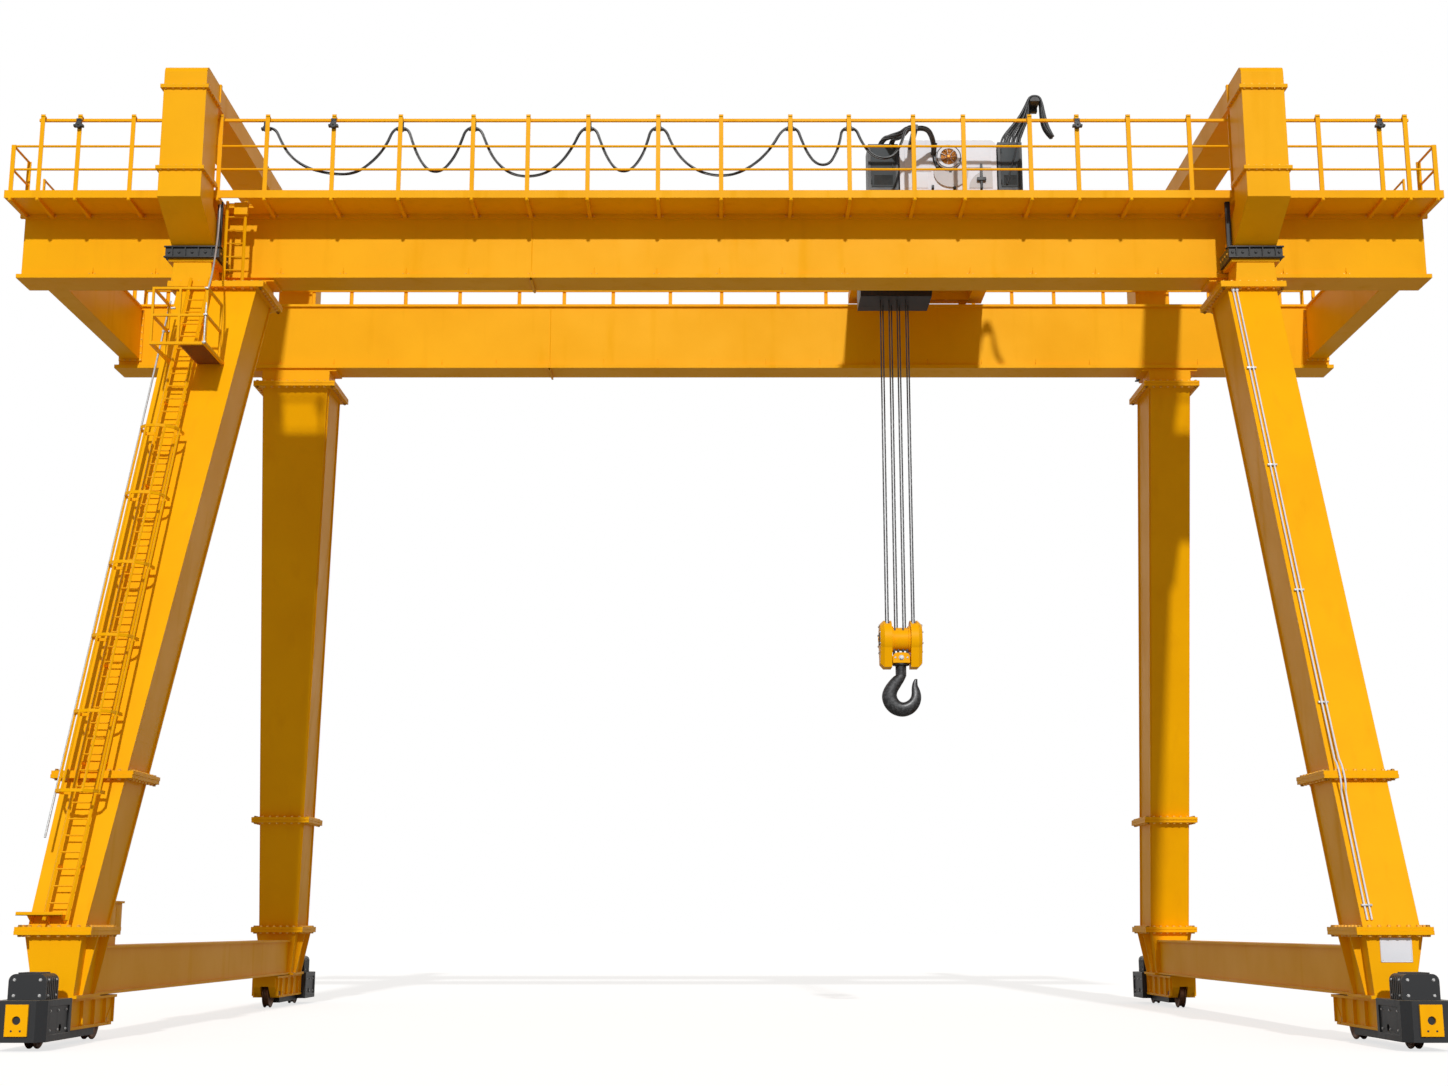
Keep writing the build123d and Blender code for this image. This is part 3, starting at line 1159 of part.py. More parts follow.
def hook_section(x, z, turn, breadth, thickness):
    """One forged section of the hook, an oval across the bowl's plane."""
    angle = math.radians(turn)
    out = Vector(math.cos(angle), 0, math.sin(angle))
    plane = Plane((ROPE_X + x, 0, HOOK_BOTTOM_Z + z), x_dir=out, z_dir=Vector(-out.Z, 0, out.X))
    ring = []
    for i in range(HOOK_SIDES):
        a = 2 * math.pi * i / HOOK_SIDES
        ring.append((breadth / 2 * math.cos(a), thickness / 2 * math.sin(a)))
    return plane * make_face(Polyline(*ring, close=True))


def hook():
    """The forged hook: a bowl of changing section drawn to a tip, under a round shank and its collar."""
    bowl = loft([hook_section(*s) for s in HOOK_SECTIONS], ruled=True)
    neck_z = HOOK_BOTTOM_Z + NECK_Z
    top = TRUNNION_Z0 + TRUNNION_H
    shank = extrude(Plane((ROPE_X, 0, neck_z)) * Circle(SHANK_D / 2), top - neck_z)
    collar_z = TRUNNION_Z0 - COLLAR_GAP - COLLAR_T
    collar = extrude(Plane((ROPE_X, 0, collar_z)) * Circle(COLLAR_D / 2), COLLAR_T)
    return bowl + shank + collar


save("hook", hook())
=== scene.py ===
"""Looks of a double box-girder gantry crane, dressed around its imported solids. Lengths are metres."""

import json
import logging
import math
from dataclasses import dataclass, field
from enum import Enum
from typing import Iterable, Mapping, Sequence

import bmesh
import bpy
from mathutils import Matrix, Vector


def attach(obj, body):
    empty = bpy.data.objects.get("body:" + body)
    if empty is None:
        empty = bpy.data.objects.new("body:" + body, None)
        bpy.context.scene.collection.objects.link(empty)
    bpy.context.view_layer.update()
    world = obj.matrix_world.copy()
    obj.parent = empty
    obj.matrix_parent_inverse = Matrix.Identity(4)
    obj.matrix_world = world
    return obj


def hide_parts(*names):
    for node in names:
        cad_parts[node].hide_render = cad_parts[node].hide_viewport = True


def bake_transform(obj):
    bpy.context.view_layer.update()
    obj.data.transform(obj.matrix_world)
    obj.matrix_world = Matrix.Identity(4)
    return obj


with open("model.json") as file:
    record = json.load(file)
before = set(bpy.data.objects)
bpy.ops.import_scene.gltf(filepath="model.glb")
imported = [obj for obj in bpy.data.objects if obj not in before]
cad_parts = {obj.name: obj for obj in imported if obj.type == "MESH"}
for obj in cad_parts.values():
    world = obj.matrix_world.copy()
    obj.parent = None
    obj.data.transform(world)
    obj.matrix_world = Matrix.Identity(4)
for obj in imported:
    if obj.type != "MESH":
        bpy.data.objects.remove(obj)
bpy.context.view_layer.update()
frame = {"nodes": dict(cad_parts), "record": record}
LOG = logging.getLogger("gantry_crane")

Point = tuple[float, float, float]
Colour = tuple[float, float, float]
SIDES = (-1, 1)
SHARP_ANGLE = math.radians(38)


class Body(str, Enum):
    """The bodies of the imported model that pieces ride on."""

    GANTRY = "gantry"
    TROLLEY = "trolley"
    HOOK_BLOCK = "hook_block"
    HOOK = "hook"


class Slot(str, Enum):
    """The record's material slots."""

    YELLOW = "yellow_paint"
    BLACK = "black_paint"
    WHITE = "white_paint"
    RAIL = "rail_steel"
    WHEEL = "wheel_steel"
    CABLE = "cable_rubber"
    ROPE = "rope_steel"
    HOOK = "hook_steel"


def linear(red: int, green: int, blue: int) -> Colour:
    """Turn a colour as seen on a screen into scene light.

    Args:
        red: Red from 0 to 255.
        green: Green from 0 to 255.
        blue: Blue from 0 to 255.

    Returns:
        The colour in linear light.
    """
    def one(level: int) -> float:
        """Decode one channel."""
        share = level / 255
        return share / 12.92 if share <= 0.04045 else ((share + 0.055) / 1.055) ** 2.4

    return one(red), one(green), one(blue)


class Wire:
    """A socket of a node tree that Python's operators add Math nodes to."""

    def __init__(self, graph: "Graph", socket: bpy.types.NodeSocket) -> None:
        """Keep the socket and the graph that its next node goes into."""
        self.graph = graph
        self.socket = socket

    def _math(self, operation: str, first: "Wire | float", second: "Wire | float" = 0.0) -> "Wire":
        """Add one Math node.

        Args:
            operation: The node's operation.
            first: Its first value.
            second: Its second value.

        Returns:
            The node's result.
        """
        return self.graph.wire("ShaderNodeMath", {"operation": operation}, {0: first, 1: second})

    def __add__(self, other: "Wire | float") -> "Wire":
        """Add."""
        return self._math("ADD", self, other)

    __radd__ = __add__

    def __sub__(self, other: "Wire | float") -> "Wire":
        """Take away."""
        return self._math("SUBTRACT", self, other)

    def __rsub__(self, other: float) -> "Wire":
        """Take this from a number."""
        return self._math("SUBTRACT", other, self)

    def __mul__(self, other: "Wire | float") -> "Wire":
        """Multiply."""
        return self._math("MULTIPLY", self, other)

    __rmul__ = __mul__

    def above(self, low: float, high: float) -> "Wire":
        """Rise from 0 at low to 1 at high, and stay there."""
        return self.graph.wire("ShaderNodeMapRange", {"clamp": True},
                               {"Value": self, "From Min": low, "From Max": high})


class Graph:
    """The node tree of one material or world."""

    def __init__(self, tree: bpy.types.NodeTree) -> None:
        """Start from an empty tree."""
        self.tree = tree
        tree.nodes.clear()

    def node(self, kind: str, settings: Mapping[str, object] | None = None,
             inputs: Mapping[str | int, object] | None = None) -> bpy.types.Node:
        """Add a node.

        Args:
            kind: The node's type.
            settings: Its settings, set first.
            inputs: The values or wires of its sockets.

        Returns:
            The node.
        """
        made = self.tree.nodes.new(kind)
        for name, value in (settings or {}).items():
            setattr(made, name, value)
        for name, value in (inputs or {}).items():
            socket = made.inputs[name]
            if isinstance(value, Wire):
                self.tree.links.new(value.socket, socket)
            elif isinstance(value, tuple) and socket.type == "RGBA":
                socket.default_value = (*value, 1)
            else:
                socket.default_value = value
        return made

    def wire(self, kind: str, settings: Mapping[str, object] | None = None,
             inputs: Mapping[str | int, object] | None = None, output: str | int = 0) -> Wire:
        """Add a node and take one of its outputs.

        Args:
            kind: The node's type.
            settings: Its settings.
            inputs: The values or wires of its sockets.
            output: The output's name or number.

        Returns:
            The output.
        """
        return Wire(self, self.node(kind, settings, inputs).outputs[output])

    def place(self, scale: Point = (1, 1, 1)) -> Wire:
        """Take the surface's own place in metres.

        Args:
            scale: How much the pattern is packed along each axis.

        Returns:
            The place, scaled.
        """
        here = self.wire("ShaderNodeTexCoord", output="Object")
        return self.wire("ShaderNodeVectorMath", {"operation": "MULTIPLY"}, {0: here, 1: scale})

    def noise(self, scale: float, detail: float = 3.0, stretch: Point = (1, 1, 1)) -> Wire:
        """Add a cloud pattern.

        Args:
            scale: Clouds per metre.
            detail: How many finer layers it has.
            stretch: How much it is packed along each axis.

        Returns:
            The pattern, about 0.5 in the middle.
        """
        return self.wire("ShaderNodeTexNoise", None,
                         {"Vector": self.place(stretch), "Scale": scale, "Detail": detail, "Roughness": 0.55})

    def mix(self, share: Wire | float, first: Wire | Colour, second: Wire | Colour) -> Wire:
        """Mix two colours.

        Args:
            share: How much of the second one shows.
            first: The colour at 0.
            second: The colour at 1.

        Returns:
            The mixed colour.
        """
        return self.wire("ShaderNodeMix", {"data_type": "RGBA"}, {0: share, 6: first, 7: second}, 2)

    def bump(self, height: Wire, strength: float, distance: float) -> Wire:
        """Turn a height into a normal.

        Args:
            height: The height pattern.
            strength: How much of it shows.
            distance: The height of 1, in metres.

        Returns:
            The normal.
        """
        inputs = {"Height": height, "Strength": strength, "Distance": distance}
        return self.wire("ShaderNodeBump", None, inputs)

    def surface(self, **inputs: object) -> None:
        """End the tree in a Principled shader.

        Args:
            inputs: The values or wires of its sockets, by their names in small letters.
        """
        named = {}
        for name, value in inputs.items():
            named[name.replace("_", " ").title().replace("Ior", "IOR")] = value
        shader = self.wire("ShaderNodeBsdfPrincipled", None, named)
        self.node("ShaderNodeOutputMaterial", None, {"Surface": shader})


def new_graph(name: str) -> tuple[bpy.types.Material, Graph]:
    """Start a material.

    Args:
        name: The material's name.

    Returns:
        The material and its node graph.
    """
    material = bpy.data.materials.new(name)
    material.use_nodes = True
    return material, Graph(material.node_tree)


@dataclass(frozen=True)
class Coating:
    """A finish that has been made, and the record's slot that it belongs to."""

    material: bpy.types.Material
    slot: Slot


@dataclass(frozen=True)
class Enamel:
    """Sprayed machine paint with rain streaks, dust on top and paler edges, which are partly rubbed wear and
    partly painted highlight.
    """

    name: str
    slot: Slot
    colour: Colour
    deep: Colour
    worn_and_highlit: Colour
    dust: Colour = linear(196, 176, 140)
    gloss: float = 0.40
    specular: float = 0.07
    streaks: float = 0.35
    dusting: float = 0.18
    tread: float = 0.0

    def build(self) -> Coating:
        """Make the finish.

        Returns:
            The finish and its slot.
        """
        material, graph = new_graph(self.name)
        clouds = graph.noise(0.55, 4.0).above(0.35, 0.68)
        rain = graph.noise(2.6, 5.0, (1, 1, 0.09)).above(0.56, 0.78)
        speck = graph.noise(42.0, 2.0).above(0.60, 0.74)
        normal = graph.wire("ShaderNodeNewGeometry", output="Normal")
        up = graph.wire("ShaderNodeSeparateXYZ", None, {0: normal}, "Z").above(0.55, 0.95)
        settled = up * graph.noise(1.7, 5.0).above(0.30, 0.70) * self.dusting
        rounded = graph.wire("ShaderNodeBevel", {"samples": 4}, {"Radius": 0.012})
        bend = graph.wire("ShaderNodeVectorMath", {"operation": "DOT_PRODUCT"},
                          {0: rounded, 1: normal}, "Value")
        # Rounded-edge mask: the paler colour mixed in here is partly rubbed paint and partly a painted
        # highlight.
        edge = (1 - bend).above(0.02, 0.22) * graph.noise(7.0, 4.0).above(0.40, 0.66)
        colour = graph.mix(clouds * 0.30, self.colour, self.deep)
        colour = graph.mix(rain * self.streaks, colour, self.deep)
        colour = graph.mix(speck * 0.10, colour, self.deep)
        colour = graph.mix(edge * 0.45, colour, self.worn_and_highlit)
        colour = graph.mix(settled, colour, self.dust)
        peel = graph.noise(210.0, 2.0) * 0.12 + graph.noise(1.3, 2.0)
        if self.tread:
            bars = graph.wire("ShaderNodeTexWave", {"bands_direction": "DIAGONAL"},
                              {"Vector": graph.place((1, 1, 0)), "Scale": 9.0})
            peel = peel + bars.above(0.72, 0.86) * self.tread
        waves = graph.wire("ShaderNodeBump", None,
                           {"Height": peel, "Strength": 0.10, "Distance": 0.004, "Normal": rounded})
        rough = self.gloss + 0.16 * rain + 0.5 * settled + 0.08 * clouds
        graph.surface(base_color=colour, roughness=rough, specular_ior_level=self.specular, normal=waves)
        return Coating(material, self.slot)


@dataclass(frozen=True)
class Metal:
    """Bare or coated metal with brushed grain and stained patches."""

    name: str
    slot: Slot
    colour: Colour
    stain: Colour
    roughness: float = 0.38
    stained: float = 0.4
    metallic: float = 1.0
    patches: float = 6.0

    def build(self) -> Coating:
        """Make the finish.

        Returns:
            The finish and its slot.
        """
        material, graph = new_graph(self.name)
        stain = graph.noise(self.patches, 5.0).above(0.42, 0.68)
        grain = graph.noise(160.0, 3.0, (0.06, 1, 1))
        shown = stain * self.stained
        graph.surface(base_color=graph.mix(shown, self.colour, self.stain),
                      roughness=self.roughness + 0.28 * shown + 0.10 * grain,
                      metallic=self.metallic - 0.5 * shown,
                      normal=graph.bump(grain + graph.noise(30.0, 4.0), 0.12, 0.002))
        return Coating(material, self.slot)


@dataclass(frozen=True)
class Sheath:
    """The rubber sheath of a cable, with a dusty bloom."""

    name: str
    slot: Slot
    colour: Colour
    bloom: Colour
    roughness: float = 0.42

    def build(self) -> Coating:
        """Make the finish.

        Returns:
            The finish and its slot.
        """
        material, graph = new_graph(self.name)
        dusty = graph.noise(3.0, 5.0).above(0.45, 0.75)
        grain = graph.noise(240.0, 2.0)
        graph.surface(base_color=graph.mix(dusty * 0.5, self.colour, self.bloom),
                      roughness=self.roughness + 0.2 * dusty, normal=graph.bump(grain, 0.15, 0.001))
        return Coating(material, self.slot)


@dataclass(frozen=True)
class Forged:
    """Black forging scale with a hammered skin and brighter patches."""

    name: str
    slot: Slot
    colour: Colour
    bright: Colour

    def build(self) -> Coating:
        """Make the finish.

        Returns:
            The finish and its slot.
        """
        material, graph = new_graph(self.name)
        scale = graph.noise(18.0, 6.0)
        patch = scale.above(0.45, 0.72)
        dents = graph.wire("ShaderNodeTexVoronoi", {"feature": "SMOOTH_F1"},
                           {"Vector": graph.place(), "Scale": 26.0})
        graph.surface(base_color=graph.mix(patch * 0.6, self.colour, self.bright),
                      metallic=0.55 - 0.2 * patch, roughness=0.36 + 0.22 * patch,
                      coat_weight=0.15, coat_roughness=0.25,
                      normal=graph.bump(dents * 0.6 + scale, 0.22, 0.006))
        return Coating(material, self.slot)


@dataclass(frozen=True)
class Palette:
    """Every finish of the crane, made once."""

    # The third colour of each enamel is its paler edge colour: partly rubbed wear, partly painted highlight.
    yellow: Coating = field(default_factory=Enamel(
        "yellow_enamel", Slot.YELLOW, linear(252, 182, 2), linear(230, 154, 2), linear(255, 210, 92)).build)
    tread: Coating = field(default_factory=Enamel(
        "yellow_tread_plate", Slot.YELLOW, linear(252, 182, 2), linear(218, 142, 6), linear(255, 210, 92),
        tread=2.0).build)
    black: Coating = field(default_factory=Enamel(
        "black_enamel", Slot.BLACK, linear(44, 46, 49), linear(26, 27, 29), linear(112, 112, 110),
        streaks=0.5, specular=0.30, dusting=0.30).build)
    white: Coating = field(default_factory=Enamel(
        "white_enamel", Slot.WHITE, linear(230, 234, 243), linear(200, 203, 210), linear(246, 247, 250),
        streaks=0.45).build)
    grey: Coating = field(default_factory=Enamel(
        "grey_enamel", Slot.BLACK, linear(74, 80, 84), linear(52, 57, 61), linear(120, 124, 126),
        gloss=0.42).build)
    pale: Coating = field(default_factory=Enamel(
        "pale_grey_enamel", Slot.WHITE, linear(202, 202, 205), linear(172, 172, 176),
        linear(236, 236, 238)).build)
    rail: Coating = field(default_factory=Metal(
        "rail_steel", Slot.RAIL, linear(150, 148, 144), linear(96, 74, 56), roughness=0.34,
        stained=0.6).build)
    zinc: Coating = field(default_factory=Metal(
        "galvanised_steel", Slot.RAIL, linear(186, 187, 188), linear(140, 139, 136), roughness=0.40,
        metallic=0.7, patches=24.0).build)
    brass: Coating = field(default_factory=Metal(
        "plated_bolts", Slot.RAIL, linear(240, 186, 70), linear(176, 118, 34), roughness=0.36,
        metallic=0.45, patches=30.0).build)
    bronze: Coating = field(default_factory=Metal(
        "fan_bronze", Slot.RAIL, linear(172, 112, 52), linear(92, 58, 28), roughness=0.40, stained=0.5,
        patches=20.0).build)
    wheel: Coating = field(default_factory=Metal(
        "wheel_steel", Slot.WHEEL, linear(112, 78, 56), linear(70, 44, 30), roughness=0.45, stained=0.8,
        metallic=0.7).build)
    rope: Coating = field(default_factory=Metal(
        "greased_rope", Slot.ROPE, linear(98, 100, 102), linear(52, 52, 54), roughness=0.40, stained=0.6,
        metallic=0.75, patches=3.0).build)
    cable: Coating = field(default_factory=Sheath(
        "cable_sheath", Slot.CABLE, linear(34, 36, 38), linear(70, 72, 74)).build)
    hook: Coating = field(default_factory=Forged(
        "forged_steel", Slot.HOOK, linear(40, 41, 43), linear(84, 85, 88)).build)


class Mesh:
    """A mesh that shapes are added to in the row frame, then dressed as one piece."""

    def __init__(self) -> None:
        """Start with no faces."""
        self.bm = bmesh.new()

    def box(self, low: Sequence[float], high: Sequence[float], round_by: float = 0.0) -> None:
        """Add a box.

        Args:
            low: Its lowest corner.
            high: Its highest corner.
            round_by: How far its edges are bevelled.
        """
        size = [h - a for a, h in zip(low, high)]
        middle = Vector([(a + h) / 2 for a, h in zip(low, high)])
        place = Matrix.Translation(middle) @ Matrix.Diagonal((*size, 1))
        made = bmesh.ops.create_cube(self.bm, size=1.0, matrix=place)
        if round_by:
            edges = dict.fromkeys(e for v in made["verts"] for e in v.link_edges)
            bmesh.ops.bevel(self.bm, geom=list(edges), offset=round_by, segments=2, profile=0.7,
                            affect="EDGES")

    def rings(self, rings: Sequence[Sequence[Vector]], capped: bool = True) -> None:
        """Join rings of the same number of points into a skin.

        Args:
            rings: The rings in order.
            capped: Whether the first and last ring are closed.
        """
        rows = [[self.bm.verts.new(p) for p in ring] for ring in rings]
        count = len(rows[0])
        for a, b in zip(rows, rows[1:]):
            for i in range(count):
                j = (i + 1) % count
                self.bm.faces.new((a[i], a[j], b[j], b[i]))
        if capped:
            self.bm.faces.new(list(reversed(rows[0])))
            self.bm.faces.new(rows[-1])

    def prism(self, outline: Sequence[Sequence[float]], along: Sequence[float]) -> None:
        """Add a flat outline drawn out along a direction.

        Args:
            outline: The corners of one end.
            along: The way to the other end.
        """
        first = [Vector(p) for p in outline]
        self.rings([first, [p + Vector(along) for p in first]])

    def turned(self, at: Sequence[float], axis: Sequence[float], profile: Sequence[tuple[float, float]],
               sides: int = 32) -> None:
        """Add a turned shape.

        Args:
            at: Where the profile's 0 is.
            axis: The way its axis points.
            profile: Steps along the axis, each with its radius.
            sides: How many sides it has.
        """
        way = Vector(axis).normalized()
        across = way.orthogonal().normalized()
        other = way.cross(across)
        turns = [2 * math.pi * i / sides for i in range(sides)]
        spokes = [across * math.cos(t) + other * math.sin(t) for t in turns]
        self.rings([[Vector(at) + way * step + spoke * max(radius, 1e-4) for spoke in spokes]
                    for step, radius in profile])

    def tube(self, points: Sequence[Sequence[float]], radius: float, sides: int = 8) -> None:
        """Add a round tube along points, with square ends.

        Args:
            points: Its middle line.
            radius: Its radius.
            sides: How many sides it has.
        """
        line = [Vector(p) for p in points]
        frames = round_frames(line, sides)
        self.rings([[p + spoke * radius for spoke in spokes] for p, spokes in zip(line, frames)])

    def bolt(self, at: Sequence[float], axis: Sequence[float], size: float = 0.03) -> None:
        """Add a hexagon bolt head on its washer.

        Args:
            at: Where the washer rests.
            axis: The way that the bolt points.
            size: The thread's diameter.
        """
        way = Vector(axis).normalized()
        self.turned(at, way, [(-0.002, size), (size * 0.16, size)], 10)
        head = [(-0.001, size * 0.8), (size * 0.55, size * 0.8), (size * 0.65, size * 0.66)]
        self.turned(Vector(at) + way * size * 0.16, way, head, 6)

    def piece(self, name: str, body: Body | str, coating: Coating, replaced: Iterable[str] = (),
              rides: bool = True) -> bpy.types.Object:
        """Turn the mesh into a piece of the crane.

        Args:
            name: The piece's name.
            body: The body that it rides on.
            coating: Its finish.
            replaced: The nodes that it stands for.
            rides: Whether it rides on the body now; a piece that does not is left without a parent.

        Returns:
            The piece.
        """
        carrier = body.value if isinstance(body, Body) else body
        bmesh.ops.recalc_face_normals(self.bm, faces=self.bm.faces)
        mesh = bpy.data.meshes.new(name)
        self.bm.to_mesh(mesh)
        self.bm.free()
        mesh.polygons.foreach_set("use_smooth", [True] * len(mesh.polygons))
        mesh.set_sharp_from_angle(angle=SHARP_ANGLE)
        mesh.materials.append(coating.material)
        made = bpy.data.objects.new(name, mesh)
        bpy.context.scene.collection.objects.link(made)
        if rides:
            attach(made, carrier)
        nodes = list(replaced)
        if nodes:
            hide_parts(*nodes)
        LOG.info("%s on %s: %d faces", name, carrier, len(mesh.polygons))
        return made


def round_frames(line: Sequence[Vector], sides: int) -> list[list[Vector]]:
    """Carry a ring of unit directions along a line without twisting it.

    Args:
        line: The points of the line.
        sides: How many directions each ring has.

    Returns:
        One ring of directions for each point.
    """
    ways = [(line[min(i + 1, len(line) - 1)] - line[max(i - 1, 0)]).normalized() for i in range(len(line))]
    across = ways[0].orthogonal().normalized()
    frames = []
    for i, way in enumerate(ways):
        if i:
            across = ways[i - 1].rotation_difference(way) @ across
            across = (across - way * across.dot(way)).normalized()
        other = way.cross(across)
        turns = [2 * math.pi * k / sides for k in range(sides)]
        frames.append([across * math.cos(t) + other * math.sin(t) for t in turns])
    return frames


def eased(share: float) -> float:
    """The place at which a smooth step has risen to a share."""
    return 0.5 - math.sin(math.asin(1 - 2 * share) / 3)


def stretch_between(piece: bpy.types.Object, ends: tuple[Vector, Vector],
                    shares: tuple[float, float]) -> None:
    """Work out the span of one length of a long run between two bodies, then bake the length's transform into
    its mesh; nothing makes it follow the bodies.

    Args:
        piece: The length.
        ends: Where this length starts and ends.
        shares: How much of the second body's motion each end has.
    """
    t0, t1 = eased(shares[0]), eased(shares[1])
    span = (ends[1] - ends[0]) / (t1 - t0)
    start = ends[0] - span * t0
    start + span
    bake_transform(piece)


def smooth_route(name: str, points: Sequence[Sequence[float]], steps: int = 8) -> list[Vector]:
    """Read a smooth line along a cord's route.

    Args:
        name: The route's name.
        points: The control points of its spline.
        steps: How many points each control point gives.

    Returns:
        The points of the spline.
    """
    data = bpy.data.curves.new(name, "CURVE")
    data.dimensions = "3D"
    data.resolution_u = steps
    spline = data.splines.new("NURBS")
    spline.points.add(len(points) - 1)
    for target, source in zip(spline.points, points):
        target.co = (*source, 1)
    spline.order_u = 3
    spline.use_endpoint_u = True
    holder = bpy.data.objects.new(name, data)
    read = bpy.data.meshes.new_from_object(holder)
    line = [v.co.copy() for v in read.vertices]
    bpy.data.meshes.remove(read)
    bpy.data.objects.remove(holder)
    bpy.data.curves.remove(data)
    return line


def length_of(line: Sequence[Vector]) -> float:
    """The length of a line of points."""
    return sum((b - a).length for a, b in zip(line, line[1:]))


def bundle(mesh: Mesh, line: Sequence[Vector], strands: int, spread: float, radius: float, turn_every: float,
           sides: int = 7) -> None:
    """Add cables that lie round each other along a line.

    Args:
        mesh: The mesh that they go into.
        line: The middle of the bundle.
        strands: How many cables it has.
        spread: How far their middles are from the line.
        radius: The radius of one cable.
        turn_every: The length in which they go once round.
        sides: How many sides each cable has.
    """
    frames = round_frames(line, 4)
    along = [0.0]
    for a, b in zip(line, line[1:]):
        along.append(along[-1] + (b - a).length)
    for k in range(strands):
        path = []
        for p, ring, s in zip(line, frames, along):
            turn = 2 * math.pi * (k / strands + s / turn_every)
            path.append(p + (ring[0] * math.cos(turn) + ring[1] * math.sin(turn)) * spread)
        mesh.tube(path, radius, sides)


@dataclass(frozen=True)
class Layout:
    """Places that several sub-assemblies share."""

    half: float = 15.45
    soffit: float = 15.92
    girder_top: float = 17.61
    web_out: float = 3.785
    web_in: float = 3.065
    flange_out: float = 3.855
    foot_x: float = 11.77
    portal_x: float = 11.38
    portal_in: float = 4.92
    portal_out: float = 5.90
    leg_head_z: float = 15.50
    leg_foot_z: float = 1.97
    leg_splice_z: float = 4.78
    leg_head_y: float = 3.79
    leg_foot_y: float = 8.55
    head_x: tuple[float, float] = (-10.85, 11.30)
    head_w: tuple[float, float] = (1.70, 1.05)
    head_d: float = 1.45
    foot_w: float = 1.01
    foot_d: float = 1.32
    walk_edge: float = 4.85
    walk_z: float = 17.42
    post_y: float = -4.806
    rope_x: float = 4.06
    deck_z: float = 18.03
    post_stations: tuple[float, ...] = (
        -0.992, -0.954, -0.902, -0.827, -0.704, -0.639, -0.546, -0.453, -0.351, -0.274, -0.190, -0.092,
        -0.004, 0.093, 0.175, 0.265, 0.335, 0.428, 0.494, 0.566, 0.651, 0.709, 0.832, 0.917, 0.954, 0.992)

    def posts(self) -> list[float]:
        """The places of the railing posts along the girder."""
        return [share * self.half for share in self.post_stations]

    def leg(self, side: int, z: float) -> tuple[float, float, float, float]:
        """Find a front leg's section.

        Args:
            side: -1 for the left leg, 1 for the right one.
            z: The height.

        Returns:
            The section's middle X and Y, its width and its depth.
        """
        t = (z - self.leg_foot_z) / (self.leg_head_z - self.leg_foot_z)
        k = (side + 1) // 2
        x = side * self.foot_x + t * (self.head_x[k] - side * self.foot_x)
        y = -(self.leg_foot_y + t * (self.leg_head_y - self.leg_foot_y))
        width = self.foot_w + t * (self.head_w[k] - self.foot_w)
        return x, y, width, self.foot_d + t * (self.head_d - self.foot_d)


@dataclass
class Studio:
    """Camera, light and floor."""

    eye: Point = (0.0, -43.49, 2.04)
    pitch: float = 11.38
    lens: float = 47.417
    sensor: float = 36.0
    clip_end: float = 2000.0
    sun_turn: float = 2.5
    sun_height: float = 27.0
    sun_power: float = 2.35
    sun_spread: float = 1.6
    sun_colour: Colour = (1.0, 0.99, 0.97)
    fill: float = 0.36
    fill_colour: Colour = (1.0, 0.91, 0.82)
    white: Colour = (1.0, 1.0, 1.0)
    floor_span: float = 900.0
    floor_z: float = -0.003
    floor_grey: Colour = (0.45, 0.45, 0.45)
    floor_glow: float = 0.72

    def camera(self) -> None:
        """Stand the camera where the picture was taken from."""
        data = bpy.data.cameras.new("camera")
        data.lens, data.sensor_width, data.sensor_fit = self.lens, self.sensor, "HORIZONTAL"
        data.clip_end = self.clip_end
        made = bpy.data.objects.new("camera", data)
        made.location = self.eye
        made.rotation_euler = (math.radians(90 + self.pitch), 0, 0)
        bpy.context.scene.collection.objects.link(made)
        bpy.context.scene.camera = made

    def light(self) -> None:
        """Light it from the front with one broad lamp and a white surround."""
        data = bpy.data.lights.new("key", "SUN")
        data.energy, data.angle = self.sun_power, math.radians(self.sun_spread)
        data.color = self.sun_colour
        key = bpy.data.objects.new("key", data)
        key.rotation_euler = (math.radians(90 - self.sun_height), 0, math.radians(self.sun_turn))
        bpy.context.scene.collection.objects.link(key)
        world = bpy.data.worlds.new("surround")
        world.use_nodes = True
        graph = Graph(world.node_tree)
        path = graph.node("ShaderNodeLightPath")
        seen = (Wire(graph, path.outputs["Is Camera Ray"]) + Wire(graph, path.outputs["Is Glossy Ray"])
                + Wire(graph, path.outputs["Is Transmission Ray"])).above(0.0, 1.0)
        sky = graph.wire("ShaderNodeBackground", None, {"Color": self.fill_colour, "Strength": self.fill})
        backdrop = graph.wire("ShaderNodeBackground", None, {"Color": self.white, "Strength": 1.0})
        shown = graph.wire("ShaderNodeMixShader", None, {0: seen, 1: sky, 2: backdrop})
        graph.node("ShaderNodeOutputWorld", None, {"Surface": shown})
        bpy.context.scene.world = world

    def floor(self) -> None:
        """Lay the pale floor, which looks white where no shadow falls."""
        mesh = bpy.data.meshes.new("floor")
        s, z = self.floor_span / 2, self.floor_z
        mesh.from_pydata([(-s, -s, z), (s, -s, z), (s, s, z), (-s, s, z)], [], [(0, 1, 2, 3)])
        material, graph = new_graph("pale_floor")
        pale = graph.wire("ShaderNodeBsdfDiffuse", None, {"Color": self.floor_grey})
        seen = graph.wire("ShaderNodeLightPath", output="Is Camera Ray")
        glow = graph.wire("ShaderNodeEmission", None,
                          {"Color": self.white, "Strength": seen * self.floor_glow})
        both = graph.wire("ShaderNodeAddShader", None, {0: pale, 1: glow})
        graph.node("ShaderNodeOutputMaterial", None, {"Surface": both})
        mesh.materials.append(material)
        made = bpy.data.objects.new("floor", mesh)
        bpy.context.scene.collection.objects.link(made)

    def build(self) -> None:
        """Set up the whole studio."""
        self.camera()
        self.light()
        self.floor()
        bpy.context.scene.view_settings.view_transform = "Standard"


@dataclass
class SubAssembly:
    """A sub-assembly of the crane, which knows its finishes and the places that are shared."""

    palette: Palette
    layout: Layout

    def build(self) -> None:
        """Build the pieces; each sub-assembly has its own way."""
        raise NotImplementedError


